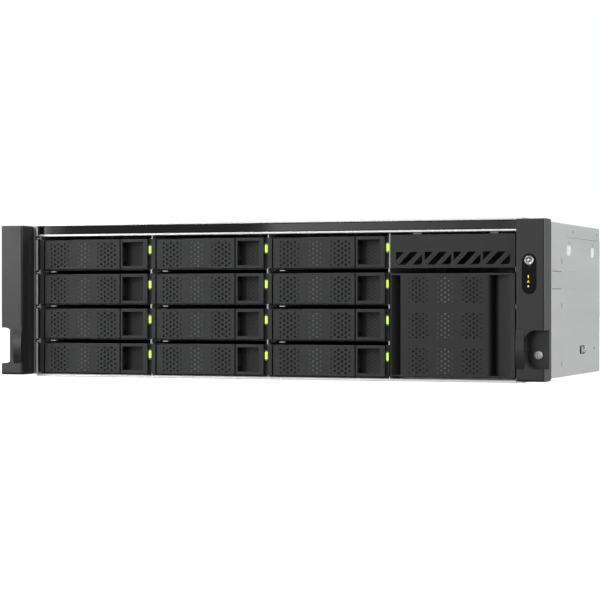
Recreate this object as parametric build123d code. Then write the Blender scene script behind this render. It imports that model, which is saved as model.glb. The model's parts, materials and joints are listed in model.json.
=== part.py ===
from build123d import *
from math import hypot
import os

# Network attached storage for a 19-inch rack, three units high and short in depth.
# The frame is +Z up, +X to the right seen from the front, and the front faces -Y.
# The origin is the middle of the underside of the whole object.
# Depths are counted rearwards from the face of the rack ears, through the function at().

# ---------- overall ----------
rack_width = 482.0           # across both rack ears
body_width = 438.0           # across the side walls
body_height = 132.0
body_depth = 305.0           # ear face to the rear edge of the side walls
handle_reach = 14.0          # supply handles behind that edge
grip_proud = 2.0             # bulge of the ear grips in front of the ear face
sheet = 1.2                  # steel of the body
fit = 0.2                    # gap between pieces that only lie side by side
slide_fit = 0.4              # gap between pieces that slide past each other
touch = 0.3                  # least gap between curved faces that move

# ---------- rack ears ----------
ear_short = 3.2              # body height less ear height
ear_depth = 22.3
left_ear_width = 20.5
right_ear_width = 23.4
ear_wall = 2.3
ear_edge_radius = 1.6
ear_back_radius = 4.0
flange_thickness = 2.5
bracket_leg = 35.0
grip_strip_left = 8.1
grip_strip_right = 6.9
grip_bottom = 11.4
grip_height = 30.8
grip_floor_depth = 15.3
grip_corner = 9.0
rack_hole_inset = 8.45       # from the outer edge, which gives the standard 465.1 across
rack_screw_height = 22.2
rack_screw_radius = 2.9
rack_screw_hole = 3.4
rack_screw_head = 3.4
rack_screw_head_height = 2.8
rack_screw_neck = 2.5        # held captive behind its wider thread
rack_screw_neck_end = 1.0    # neck past the flange
rack_screw_thread = 12.0

# ---------- status panel in the right ear ----------
window_width = 11.8
window_height = 32.1
window_inset = 12.4          # middle of the window from the outer edge
window_bottom = 70.7
button_radius = 3.9
button_height = 97.3
button_travel = 1.5
button_proud = 0.7
lamp_heights = (84.5, 80.9, 76.9)
lamp_radius = 1.1
panel_board_depth = 10.0

# ---------- drive bays ----------
columns = 3
rows = 4
column_pitch = 106.75
row_pitch = 29.8
divider_inset = 5.0          # first divider from the outside of the side wall
divider = 1.0
face_depth = 20.0            # tray fronts behind the ear face
row_bottom = 3.1
tray_height = 25.8
tray_right_edge = 103.1      # right edge of a tray front, from its left divider
tray_strip = 3.9
lever_start = 4.9
lever_end = 77.0
lever_thickness = 3.0
lever_pin = 1.2
lever_pin_fit = 0.05
lug_height = 1.4
lug_reach = 4.6
recess_start = 79.2
recess_end = 99.0
recess_edge = 2.5
recess_shallow = 3.4
recess_deep = 8.2
tray_back = 2.0
tray_block_depth = 10.0
tray_rail = 1.6
tray_floor = 1.0
drive_width = 101.6
drive_height = 26.1
drive_length = 147.0
drive_start = 32.0
guide_height = 6.4
guide_bottom = 13.2
guide_length = 34.0
runner = 0.8
runner_width = 2.4
cage_rear_gap = 3.0          # disk to the end of the cage
board = 1.6
backplane_bottom = 4.0
backplane_gap = 2.3          # under the header
header_drop = 10.7           # header under the top of the body
header_web = 1.7
header_length = 20.0
trim_height = 7.1
trim_depth = 2.2

# ---------- right-hand column ----------
bay_gap = 0.4                # side gap of the bezel and the cover
vent_bottom = 92.1
vent_height = 27.2
vent_wall = 2.0
vent_box_depth = 12.0
slot_bottom = 94.9
slot_height = 10.3
slot_group_side = 4.95       # first group from the side of the bezel
slot_group_pitch = 24.5
slot_group_width = 22.4
slot_bar = 3.8
snap_tab_left_side = 22.9
snap_tab_right_side = 17.3
snap_tab_width = 7.0
slot_width = 4.6
cover_bottom = 3.5
cover_height = 84.3
cover_depth = 16.0
cover_wall = 2.4
cover_strip = 2.0
cover_panel_left_side = 8.85
cover_panel_right_side = 19.6
cover_edge_radius = 5.0
cover_left_depth = 10.0
cover_right_depth = 13.5
small_cage_side = 1.5
small_cage_bottom = 3.0
small_cage_height = 83.5
small_cage_gap = 4.0         # behind the cover
small_drive_height = 69.85
small_drive_length = 100.45
small_drive_thickness = 15.0
small_tray_front = 6.0
small_bays = 4

# ---------- top covers and side walls ----------
lid_start = 171.0
lid_sheet = 1.0
lid_lip = 11.5
lid_gap = 1.5                # lid behind the rear edge of the side walls
hem = 1.6
joggle_bottom = 100.0
side_windows = ((171.6, 188.7), (267.5, 282.4))
side_window_bottom = 104.4
side_window_top = 114.0
side_window_cut = 4.5
side_screw_depth = 152.5
side_screw_heights = (99.7, 61.4, 11.1)
side_screw_radius = 2.2
side_groove_heights = (90.4, 75.5)
side_groove_ends = (198.0, 202.0)
side_groove = 0.7
side_tab = (222.0, 240.0, 18.5, 25.0)

# ---------- rear ----------
panel_inset = 2.6            # rear panel's outer face inside the edge of the side walls
thumb_x = 128.5
thumb_drop = 8.5
thumb_head = 5.5
thumb_head_length = 7.5
thumb_shaft = 2.0
thumb_shaft_length = 7.0
lid_rear_lip = 15.0
fan_size = 80.0
fan_depth = 25.0
fan_rim = 2.0
fan_hub = 17.0
fan_shaft = 2.0
fan_shaft_fit = 0.05
fan_first = -172.0
fan_gap = 7.0
fans = 3
fan_middle_height = 76.5
fan_blades = 7
fan_screw_inset = 4.25
guard_wire = 1.6
board_left = -205.0
board_right = 100.0
board_gap = 8.0              # drive cage to main board
board_rear_gap = 4.2         # main board to rear panel
board_height = 8.0
memory_left = 185.0          # from the board's left edge
memory_length = 70.0
memory_starts = (16.0, 26.0)
memory_socket = 6.0
memory_seat = 5.0
memory_sheet = 1.4
memory_height = 28.0
card_socket_width = 8.0
card_socket_length = 80.0
card_socket_height = 11.0
card_socket_gap = 12.0       # to the board's rear edge
flash_left = -30.0
flash_length = 80.0
flash_width = 22.0
flash_lift = 3.0
flash_starts = (45.0, 72.0)
cell_x = -130.0
cell_start = 35.0
cell_radius = 10.0
cell_height = 4.0
sink_left = 100.0            # from the board's left edge
sink_start = 10.0
sink_size = 60.0
sink_base = 6.0
sink_fins = 13
fin_thickness = 1.2
fin_height = 22.0
slot_places = (66.0, 86.3)
slot_cover_width = 18.4
slot_cover_bottom = 46.0
slot_cover_height = 79.2
slot_opening = 13.0

# ---------- power supplies ----------
supply_width = 73.5
supply_height = 40.0
supply_side_gap = 6.8        # to the inside of the side wall
supply_start = 158.0
supply_bottom = 2.6
supply_proud = 1.0
supply_cage_sheet = 1.0
inlet_width = 24.0
inlet_height = 17.0
inlet_depth = 15.0
inlet_edge = 6.0
bail_rod = 2.2
bail_width = 32.0
bail_side = 22.0             # middle of the handle from the right side of its supply
bail_drop = 26.0
bail_bar = 5.0
bail_pin_fit = 0.05

# ---------- worked out from the sizes above ----------
total_depth = grip_proud + body_depth + handle_reach
front_face = -total_depth / 2 + grip_proud
half_rack = rack_width / 2
ear_height = body_height - ear_short
rack_hole_x = half_rack - rack_hole_inset
window_middle_x = half_rack - window_inset
half_body = body_width / 2
inner_wall = half_body - sheet
first_divider = divider_inset - half_body
cage_end = drive_start + drive_length + cage_rear_gap
header_bottom = body_height - header_drop
joggle_top = body_height - hem
thumb_height = body_height - thumb_drop
fan_bore = fan_size / 2 - fan_rim
fan_screw_spacing = fan_size - 2 * fan_screw_inset
fan_places = [fan_first + number * (fan_size + fan_gap) for number in range(fans)]
ear_bottom = (body_height - ear_height) / 2
ear_top = ear_bottom + ear_height
flange_back = ear_depth + flange_thickness
panel_outside = body_depth - panel_inset
panel_inside = panel_outside - sheet
lid_end = body_depth - lid_gap
board_start = cage_end + board_gap
board_end = panel_inside - board_rear_gap
supply_left = inner_wall - supply_side_gap - supply_width
grip_top = grip_bottom + grip_height
bay_left = first_divider + columns * column_pitch + divider / 2 + bay_gap
bay_right = bay_left + column_pitch - divider - 2 * bay_gap
slot_group_start = bay_left + slot_group_side
cover_panel_left = bay_left + cover_panel_left_side
cover_panel_right = bay_right - cover_panel_right_side
small_cage_left = bay_left + small_cage_side
small_cage_right = bay_right - small_cage_side
small_cage_top = small_cage_bottom + small_cage_height
small_cage_start = face_depth + cover_depth + small_cage_gap
snap_tab_places = (bay_left + snap_tab_left_side, bay_right - snap_tab_right_side)
tray_underside = 0.1 - tray_floor        # from the lower edge of the tray's front
hem_top = row_bottom + tray_underside - touch


def at(depth):
    """Turn a depth behind the ear face into a Y position."""
    return front_face + depth


def block(x0, x1, d0, d1, z0, z1):
    """A block between two X, two depths and two heights."""
    middle = Pos((x0 + x1) / 2, at((d0 + d1) / 2), (z0 + z1) / 2)
    return middle * Box(x1 - x0, d1 - d0, z1 - z0)


def rod_y(x, z, d0, d1, radius):
    """A round bar that runs front to back."""
    return Pos(x, at((d0 + d1) / 2), z) * Rot(90, 0, 0) * Cylinder(radius, d1 - d0)


def rod_z(x, depth, z0, z1, radius):
    """A round bar that stands upright."""
    return Pos(x, at(depth), (z0 + z1) / 2) * Cylinder(radius, z1 - z0)


def rod_x(x0, x1, depth, z, radius):
    """A round bar that lies across."""
    return Pos((x0 + x1) / 2, at(depth), z) * Rot(0, 90, 0) * Cylinder(radius, x1 - x0)


def upright_prism(points, z0, z1):
    """A prism with an outline of (x, depth) points, between two heights."""
    outline = make_face(Polyline(*[(x, at(d), z0) for x, d in points], close=True))
    return extrude(outline, amount=z1 - z0, dir=(0, 0, 1))


def front_prism(points, d0, d1):
    """A prism with an outline of (x, z) points, between two depths."""
    outline = make_face(Polyline(*[(x, at(d0), z) for x, z in points], close=True))
    return extrude(outline, amount=d1 - d0, dir=(0, 1, 0))


def side_prism(points, x0, x1):
    """A prism with an outline of (depth, z) points, between two X."""
    outline = make_face(Polyline(*[(x0, at(d), z) for d, z in points], close=True))
    return extrude(outline, amount=x1 - x0, dir=(1, 0, 0))


def pill(x, z0, z1, d0, d1, width):
    """A bar with round ends, seen from the front."""
    half = width / 2
    straight = block(x - half, x + half, d0, d1, z0 + half, z1 - half)
    return straight + rod_y(x, z0 + half, d0, d1, half) + rod_y(x, z1 - half, d0, d1, half)


def save(name, *pieces):
    """Write one sub-part, keeping each of its solids separate."""
    solids = [solid for piece in pieces for solid in piece.solids()]
    shape = solids[0] if len(solids) == 1 else Compound(solids)
    export_step(shape, f"parts/{name}.step")


# ---------- body ----------

def side_wall():
    """The right-hand wall: full height in front, lower under the lid, with its inner strip."""
    wall = block(inner_wall, half_body, flange_back, lid_start, 0, body_height)
    seam = body_height - lid_lip - fit
    wall += block(inner_wall, half_body, lid_start, body_depth, 0, seam)
    strip_start = lid_start - 6
    strip = block(inner_wall - sheet, inner_wall, strip_start, panel_inside - fit, joggle_bottom, joggle_top)
    wall += strip
    for start, end in side_windows:
        low = side_window_bottom
        high = side_window_top
        corner = side_window_cut
        outline = [(start, low), (end - corner, low), (end, low + corner), (end, high), (start, high)]
        wall -= side_prism(outline, inner_wall, half_body + fit)
        wall -= rod_x(inner_wall, half_body + fit, (start + end) / 2, high + 1.9, 1.1)
    for height in side_screw_heights:
        wall -= rod_x(half_body - sheet / 2, half_body + fit, side_screw_depth, height, side_screw_radius + fit)
    for height, end in zip(side_groove_heights, side_groove_ends):
        wall -= block(half_body - 0.25, half_body + fit, flange_back, end, height, height + side_groove)
    d0, d1, z0, z1 = side_tab
    wall -= block(inner_wall - fit, half_body + fit, d0, d1, z0, z1)
    wall += block(half_body - sheet, half_body - 0.5, d0, d1, z0 + 1.5, z1)
    return wall


def chassis_base():
    """Floor, two side walls, front hem and the pressed-in board studs."""
    base = block(-half_body, half_body, flange_back, body_depth, 0, sheet)
    hem_half = inner_wall - flange_thickness
    base += block(-hem_half, hem_half, face_depth + 0.5, flange_back, 0, hem_top)
    wall = side_wall()
    base += wall
    base += mirror(wall, Plane.YZ)
    for x in (board_left + 8, (board_left + board_right) / 2, board_right - 8):
        for depth in (board_start + 8, board_end - 8):
            base += rod_z(x, depth, sheet, board_height, 3)
    return base


def front_top_cover():
    """Fixed plate over the bays, with a folded front hem and two skirts."""
    half = inner_wall - fit
    front = face_depth + 1
    cover = block(-half, half, front, lid_start, body_height - sheet, body_height)
    cover += block(-half, half, front, front + 4, body_height - hem, body_height)
    for x in (-half, half - sheet):
        cover += block(x, x + sheet, 62, lid_start - 10, body_height - 10, body_height)
    return cover


def rear_lid():
    """Sliding lid with side lips and a rear lip that takes the thumbscrews."""
    top = body_height - lid_sheet
    lid = block(-half_body, half_body, lid_start + fit, lid_end, top, body_height)
    low = body_height - lid_lip
    for x in (-half_body, half_body - lid_sheet):
        lid += block(x, x + lid_sheet, lid_start + fit, lid_end, low, top)
    lid += block(-half_body + 3, half_body - 3, panel_outside + fit, lid_end, body_height - lid_rear_lip, top)
    for x in (-thumb_x, thumb_x):
        lid -= rod_y(x, thumb_height, panel_outside, lid_end + 1, thumb_shaft + slide_fit)
    return lid


def thumbscrew(x):
    """Captive thumbscrew: a knurl-sized head and its shaft."""
    seat = lid_end + fit
    screw = rod_y(x, thumb_height, seat, seat + thumb_head_length, thumb_head)
    screw += rod_y(x, thumb_height, seat - thumb_shaft_length, seat, thumb_shaft)
    slot_depth = seat + thumb_head_length
    return screw - block(x - 4, x + 4, slot_depth - 1.2, slot_depth, thumb_height - 0.6, thumb_height + 0.6)


def connector_places():
    """Rear sockets: middle X, width, height and whether the mouth is a plain square."""
    places = [(-190.0, 14.5, 6.0, False)]
    places += [(-166.0, 13.2, 15.6, False), (-146.0, 13.2, 15.6, False)]
    places += [(-120.0, 16.0, 13.6, True), (-100.0, 16.0, 13.6, True)]
    places += [(-72.0, 15.0, 11.0, True), (-54.0, 15.0, 11.0, True)]
    return places


def io_connectors():
    """Socket shells on the board's rear edge."""
    shells = []
    low = board_height + board
    mouth = panel_outside + 0.4
    for x, width, height, square in connector_places():
        shell = block(x - width / 2, x + width / 2, mouth - 18, mouth, low, low + height)
        if square:
            wall = 1.6
            half = width / 2 - wall
            shell -= block(x - half, x + half, mouth - 11, mouth, low + wall, low + height - wall)
        shells.append(shell)
    return shells


def rear_panel():
    """Rear wall with its cut-outs for fans, sockets, cards and supplies."""
    half = inner_wall
    panel = block(-half, half, panel_inside, panel_outside, sheet, joggle_top)
    near = panel_inside - 1
    far = panel_outside + 1
    for x in fan_places:
        panel -= rod_y(x, fan_middle_height, near, far, fan_bore)
    low = board_height + board
    for x, width, height, _ in connector_places():
        panel -= block(x - width / 2 - fit, x + width / 2 + fit, near, far, low - fit, low + height + fit)
    for x in slot_places:
        edge = slot_cover_bottom + 5
        half_opening = slot_opening / 2
        panel -= block(x - half_opening, x + half_opening, near, far, edge, edge + slot_cover_height - 10)
    cage = supply_cage_box()
    panel -= block(cage[0], cage[1], near, far, cage[2], cage[3])
    for x in (-thumb_x, thumb_x):
        panel -= rod_y(x, thumb_height, near, far, thumb_shaft + slide_fit)
    covers = []
    for x in slot_places:
        half_cover = slot_cover_width / 2
        low = slot_cover_bottom
        high = low + slot_cover_height
        covers.append(block(x - half_cover, x + half_cover, panel_inside - 0.9, panel_inside, low, high))
    return [panel] + covers


def side_screws():
    """Flush screws through each side wall."""
    heads = []
    for side in (-1, 1):
        x0 = side * (half_body - sheet / 2)
        x1 = side * (half_body - 0.1)
        for height in side_screw_heights:
            heads.append(rod_x(min(x0, x1), max(x0, x1), side_screw_depth, height, side_screw_radius))
    return heads


# ---------- rack ears ----------

def ear_bracket(side):
    """Steel flange in front of the wall's edge, with a leg inside the wall."""
    inside = inner_wall - flange_thickness
    flange = block(inside, half_rack, ear_depth, flange_back, ear_bottom, ear_top)
    outer = flange.edges().filter_by(Axis.Y).group_by(Axis.X)[-1]
    flange = fillet(outer, ear_back_radius)
    leg = block(inside, inner_wall, flange_back, flange_back + bracket_leg, ear_bottom, body_height - 11)
    bracket = flange + leg
    bracket -= rod_y(rack_hole_x, rack_screw_height, ear_depth - 1, flange_back + 1, rack_screw_hole)
    return bracket if side > 0 else mirror(bracket, Plane.YZ)


def ear_shell(width, strip):
    """A right-hand ear moulding with its open-sided grip recess and bulging grip strip."""
    inner = half_rack - width
    shell = block(inner, half_rack, 0, ear_depth, ear_bottom, ear_top)
    front_edges = shell.edges().group_by(Axis.Y)[0]
    shell = fillet(front_edges, ear_edge_radius)
    back_edges = shell.edges().filter_by(Axis.X).group_by(Axis.Y)[-1]
    shell = fillet(back_edges, ear_back_radius)
    wall = ear_wall
    shell -= block(inner + wall, half_rack - wall, wall, ear_depth, grip_top + wall, ear_top - wall - 2)
    chord = grip_height / 2
    bulge_radius = (chord * chord + grip_proud * grip_proud) / (2 * grip_proud)
    middle = (grip_bottom + grip_top) / 2
    bulge = rod_x(inner + fit, half_rack - fit, bulge_radius - grip_proud, middle, bulge_radius)
    shell += bulge & block(inner + fit, inner + strip, -grip_proud, ear_wall, grip_bottom, grip_top)
    recess_edge_x = inner + strip
    recess = block(recess_edge_x, half_rack + 1, -grip_proud, grip_floor_depth, grip_bottom, grip_top)
    corners = recess.edges().filter_by(Axis.Y).group_by(Axis.X)[0]
    shell -= fillet(corners, grip_corner)
    shell -= rod_y(rack_hole_x, rack_screw_height, grip_floor_depth - 1, ear_depth + 1, rack_screw_hole)
    return shell


def left_ear_cover():
    """Left ear moulding."""
    return mirror(ear_shell(left_ear_width, grip_strip_left), Plane.YZ)


def right_ear_cover():
    """Right ear moulding with the window cut-out and two board posts."""
    shell = ear_shell(right_ear_width, grip_strip_right)
    top = window_bottom + window_height
    shell -= pill(window_middle_x, window_bottom, top, -1, ear_wall + 1, window_width)
    for height in (window_bottom - 4, top + 4):
        shell += rod_y(window_middle_x, height, ear_wall, panel_board_depth, 1.6)
    return shell


def rack_screw(side):
    """Captive rack screw with a cross recess."""
    x = side * rack_hole_x
    seat = grip_floor_depth - touch
    thread = flange_back + rack_screw_neck_end
    end = thread + rack_screw_thread
    front = seat - rack_screw_head_height
    screw = rod_y(x, rack_screw_height, front, seat, rack_screw_head)
    screw += rod_y(x, rack_screw_height, seat, thread, rack_screw_neck)
    screw += rod_y(x, rack_screw_height, thread, end, rack_screw_radius)
    z = rack_screw_height
    screw -= block(x - 2.1, x + 2.1, front, front + 1.5, z - 0.5, z + 0.5)
    screw -= block(x - 0.5, x + 0.5, front, front + 1.5, z - 2.1, z + 2.1)
    return screw


# ---------- status panel ----------

def status_window():
    """Window in the ear, with a rim behind the wall and a hole for the button."""
    x = window_middle_x
    top = window_bottom + window_height
    rim = 1.3
    window = pill(x, window_bottom + fit, top - fit, fit, ear_wall, window_width - 2 * fit)
    window += pill(x, window_bottom - rim, top + rim, ear_wall, ear_wall + 0.8, window_width + 2 * rim)
    return window - rod_y(x, button_height, -1, ear_wall + 2, button_radius + touch)


def power_button():
    """Round button with a domed face and a collar that keeps it in."""
    x = window_middle_x
    back = panel_board_depth - 1.8 - button_travel - fit
    stem = rod_y(x, button_height, -button_proud, back, button_radius)
    stem = fillet(stem.edges().group_by(Axis.Y)[0], 0.6)
    collar = ear_wall + 0.8 + slide_fit
    return stem + rod_y(x, button_height, collar, collar + 1, button_radius + 1.1)


def front_panel_board():
    """Small board with the switch and three light guides."""
    x = window_middle_x
    top = window_bottom + window_height
    low = window_bottom - 6.5
    plate = block(x - 4.6, x + 4.6, panel_board_depth, panel_board_depth + 1.2, low, top + 6.5)
    front = panel_board_depth - 1.8
    switch = block(x - 3, x + 3, front, panel_board_depth, button_height - 3, button_height + 3)
    guides = [rod_y(x, z, ear_wall + 0.8, panel_board_depth, lamp_radius) for z in lamp_heights]
    return [plate, switch] + guides


# ---------- drive cage ----------

def divider_x(index):
    """Middle of an upright divider."""
    return first_divider + index * column_pitch


def row_low(row):
    """Lowest edge of a row of tray fronts, row 0 being the top one."""
    return row_bottom + (rows - 1 - row) * row_pitch


def drive_cage():
    """Upright dividers with forward tabs between the rows, and the ledges that trays run on."""
    pieces = []
    for index in range(columns + 2):
        x = divider_x(index)
        plate = block(x - divider / 2, x + divider / 2, face_depth + 1.7, cage_end, hem_top, header_bottom)
        plate += block(x - divider / 2, x + divider / 2, flange_back, cage_end, sheet, hem_top)
        for row in range(rows - 1):
            low = row_low(row + 1) + tray_height + 0.4
            high = row_low(row) - 0.4
            plate += block(x - divider / 2, x + divider / 2, face_depth - 0.2, face_depth + 1.7, low, high)
        for row in range(rows):
            low = row_low(row) + tray_underside - fit - runner
            if index > 0 and index <= columns:
                plate += ledge(x - divider / 2 - runner_width, x, low)
            if index < columns:
                plate += ledge(x, x + divider / 2 + runner_width, low)
        pieces.append(plate)
    return pieces


def ledge(x0, x1, low):
    """One tray ledge."""
    return block(x0, x1, face_depth + 12, cage_end - 8, low, low + runner)


def drive_backplane():
    """Upright board behind the bays, with air slots and one socket per drive."""
    left = divider_x(0) - divider / 2
    right = divider_x(columns) + divider / 2
    plate = block(left, right, cage_end, cage_end + board, backplane_bottom, header_bottom - backplane_gap)
    sockets = []
    for column in range(columns):
        x = divider_x(column)
        for row in range(rows):
            low = row_low(row)
            plate -= block(x + 52, x + 96, cage_end - 1, cage_end + board + 1, low + 6, low + 20)
            sockets.append(block(x + 8, x + 44, drive_start + drive_length + slide_fit, cage_end, low + 2, low + 8))
    return [plate] + sockets


def tray(column, row):
    """Tray: front moulding, rails and floor in one, its light guide and the disk drive."""
    x = divider_x(column)
    low = row_low(row)
    high = low + tray_height
    left = x + divider / 2 + slide_fit
    right = x + column_pitch - divider / 2 - slide_fit
    web = face_depth + lever_thickness + 0.6
    back = web + tray_back
    end = drive_start + drive_length + fit
    body = block(left, right, web, back, low, high)
    body += block(x, x + tray_strip, face_depth, face_depth + 1.4, low, high)
    body += block(left, left + 1.5, face_depth, web, low, high)
    for z in (low, high - lug_height):
        body += block(left, x + lever_start + lug_reach, face_depth + 0.3, web, z, z + lug_height)
    body += block(x + lever_end + 0.7, x + tray_right_edge, face_depth, face_depth + tray_block_depth, low, high)
    mouth = [(recess_start, -1), (recess_end, -1), (recess_end, recess_shallow), (recess_start, recess_deep)]
    outline = [(x + across, face_depth + down) for across, down in mouth]
    body -= upright_prism(outline, low + recess_edge, high - recess_edge)
    drive_left = x + column_pitch / 2 - drive_width / 2
    drive_right = drive_left + drive_width
    bottom = low + tray_underside
    body += block(left, drive_left, web, end, bottom, low + 18)
    body += block(drive_right, right, web, end, bottom, low + 18)
    body += block(drive_left, drive_right, web, end, bottom, bottom + tray_floor)
    pin_x, pin_depth = lever_axis(column)
    body -= rod_z(pin_x, pin_depth, low - 1, high + 1, lever_pin + lever_pin_fit)
    guide_left = drive_right + 0.1
    guide_low = low + guide_bottom
    guide_high = guide_low + guide_height
    guide = block(guide_left, right, face_depth + 0.6, face_depth + guide_length, guide_low, guide_high)
    body -= guide
    drive_low = bottom + tray_floor
    drive_high = drive_low + drive_height
    disk = block(drive_left, drive_right, drive_start, drive_start + drive_length, drive_low, drive_high)
    return body, guide, disk


def lever_axis(column):
    """X and depth of a tray lever's pin."""
    return divider_x(column) + lever_start + lever_thickness / 2, face_depth + lever_thickness / 2


def tray_lever(column, row):
    """Lever across the tray front, with stub pins that turn in the tray's lugs."""
    x = divider_x(column)
    low = row_low(row)
    high = low + tray_height
    pin_x, pin_depth = lever_axis(column)
    half = lever_thickness / 2
    lug_end = x + lever_start + lug_reach + 1.6
    inner_low = low + lug_height + fit
    inner_high = high - lug_height - fit
    lever = rod_z(pin_x, pin_depth, inner_low, inner_high, half)
    lever += block(pin_x, lug_end, face_depth, face_depth + lever_thickness, inner_low, inner_high)
    lever += block(lug_end, x + lever_end, face_depth, face_depth + lever_thickness, low, high)
    return lever + rod_z(pin_x, pin_depth, low + fit, high - fit, lever_pin)


# ---------- header and trim ----------

def front_header():
    """Angle across the top of the bays that carries the trim strip."""
    half = inner_wall - flange_thickness - fit
    top = body_height - hem
    web = header_bottom + header_web
    rail = block(-half, half, face_depth + fit, face_depth + header_length, header_bottom, web)
    back = face_depth + fit + 0.4 + trim_depth
    return rail + block(-half, half, back, back + sheet, web, top)


def top_trim_strip():
    """Gloss strip above the bays, with softened long edges."""
    half = inner_wall - flange_thickness - 1
    front = face_depth + fit + 0.4
    low = header_bottom + header_web + fit
    strip = block(-half, half, front, front + trim_depth, low, low + trim_height)
    return chamfer(strip.edges().filter_by(Axis.X).group_by(Axis.Y)[0], 0.5)


# ---------- right-hand column ----------

def vent_slots():
    """Groups of slanting openings, each group cut from a rectangle by slanting bars."""
    pitch = (slot_bar + slot_width) * hypot(1, 1)
    reach = slot_bar * hypot(1, 1)
    low = slot_bottom
    high = slot_bottom + slot_height
    groups = []
    for number in range(4):
        left = slot_group_start + number * slot_group_pitch
        group = block(left, left + slot_group_width, face_depth - 1, face_depth + vent_wall + 1, low, high)
        first = left - slot_height + 7.0
        for bar in range(3):
            start = first + bar * pitch
            outline = [(start, low), (start + reach, low)]
            outline += [(start + reach + slot_height, high), (start + slot_height, high)]
            group -= front_prism(outline, face_depth - 2, face_depth + vent_wall + 2)
        groups.append(group)
    return groups


def vent_bezel():
    """Shallow box with a slotted face, held by two snap tabs on top."""
    high = vent_bottom + vent_height
    bezel = block(bay_left, bay_right, face_depth, face_depth + vent_box_depth, vent_bottom, high)
    wall = vent_wall
    back = face_depth + vent_box_depth
    bezel -= block(bay_left + wall, bay_right - wall, face_depth + wall, back, vent_bottom + wall, high - wall)
    for group in vent_slots():
        bezel -= group
    half_tab = snap_tab_width / 2
    for x in snap_tab_places:
        bezel += block(x - half_tab, x + half_tab, face_depth + 2, face_depth + 7, high, header_bottom - fit)
    return bezel


def bay_cover():
    """Pull-off cover three rows high, with a scoop at each side to pinch it by."""
    high = cover_bottom + cover_height
    back = face_depth + cover_depth
    cover = block(bay_left, bay_right, face_depth, back, cover_bottom, high)
    wall = cover_wall
    cover -= block(
        cover_panel_left + wall, cover_panel_right - wall, face_depth + wall, back, cover_bottom + wall, high - wall
    )
    low_scoop = cover_bottom + cover_strip
    high_scoop = high - cover_strip
    left = bay_left + 1.0
    down = face_depth + cover_left_depth
    outline = [(left, face_depth - 1), (left, face_depth)]
    outline += [(cover_panel_left, down), (cover_panel_left, face_depth - 1)]
    cover -= upright_prism(outline, low_scoop, high_scoop)
    right = bay_right - 0.8
    down = face_depth + cover_right_depth
    slot = cover_panel_right + 3.8
    outline = [
        (cover_panel_right, face_depth - 1),
        (cover_panel_right, down),
        (slot, down),
        (slot + 3, down - 4.5),
        (slot + 9, face_depth + 4),
        (right, face_depth),
        (right, face_depth - 1),
    ]
    cover -= upright_prism(outline, low_scoop, high_scoop)
    near = block(
        cover_panel_right - 2, cover_panel_right + 0.5, face_depth - 0.5, face_depth + 0.5, low_scoop, high_scoop
    )
    edge = [e for e in cover.edges().filter_by(Axis.Z) if near.is_inside(e.center())]
    return fillet(edge, min(cover_edge_radius, cover_wall * 1.4))


def small_bay_left(bay):
    """Left side of an upright small-drive bay."""
    pitch = (small_cage_right - small_cage_left - sheet) / small_bays
    return small_cage_left + sheet + bay * pitch, pitch - sheet


def small_cage():
    """Sheet box with upright small-drive bays, and the board that closes its rear."""
    end = small_cage_start + small_tray_front + small_drive_length + 4
    cage = block(small_cage_left, small_cage_right, small_cage_start, end, small_cage_bottom, small_cage_top)
    for bay in range(small_bays):
        left, width = small_bay_left(bay)
        low = small_cage_bottom + sheet
        cage -= block(left, left + width, small_cage_start, end, low, small_cage_top - sheet)
    foot = block(small_cage_left, small_cage_right, small_cage_start, end, sheet, small_cage_bottom)
    plate = block(small_cage_left, small_cage_right, end, end + board, small_cage_bottom + 3, small_cage_top)
    return [cage + foot, plate]


def small_trays():
    """Upright small-drive trays, each with its drive."""
    pieces = []
    low = small_cage_bottom + sheet + slide_fit
    high = small_cage_top - sheet - slide_fit
    start = small_cage_start - 2
    middle = (low + high) / 2
    for bay in range(small_bays):
        left, width = small_bay_left(bay)
        left += slide_fit
        right = left + width - 2 * slide_fit
        front = block(left, right, start, start + small_tray_front, low, high)
        front -= block(left + 5, right - 5, start - 1, start + 4, middle + 6, high - 6)
        end = start + small_tray_front + small_drive_length
        half = small_drive_height / 2
        tray_body = front + block(left, right, start + small_tray_front, end, low, middle - half)
        tray_body += block(left, right, start + small_tray_front, end, middle + half, high)
        pieces.append(tray_body)
        drive_end = left + small_drive_thickness
        pieces.append(block(left, drive_end, start + small_tray_front, end, middle - half, middle + half))
    return pieces


# ---------- rear electronics ----------

def fan_frame(x):
    """Square fan frame with a round duct, a stator and its four struts."""
    half = fan_size / 2
    end = panel_inside
    start = end - fan_depth
    z = fan_middle_height
    frame = block(x - half, x + half, start, end, z - half, z + half)
    frame -= rod_y(x, z, start - 1, end + 1, fan_bore)
    strut_start = end - 3.5
    ring = rod_y(x, z, strut_start - 1, end + 1, fan_bore + 1)
    for turn in (45, 135):
        bar = Pos(x, at((strut_start + end) / 2), z) * Rot(0, turn, 0) * Box(fan_size, end - strut_start, 4)
        frame += bar & ring
    frame += rod_y(x, z, strut_start, end, fan_hub)
    frame += rod_y(x, z, strut_start - 9, strut_start, 6)
    frame -= rod_y(x, z, strut_start - 10, end - 1, fan_shaft + fan_shaft_fit)
    spacing = fan_screw_spacing / 2
    for sx in (-spacing, spacing):
        for sz in (-spacing, spacing):
            frame -= rod_y(x + sx, z + sz, start - 1, end + 1, 2.2)
    return frame


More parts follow.
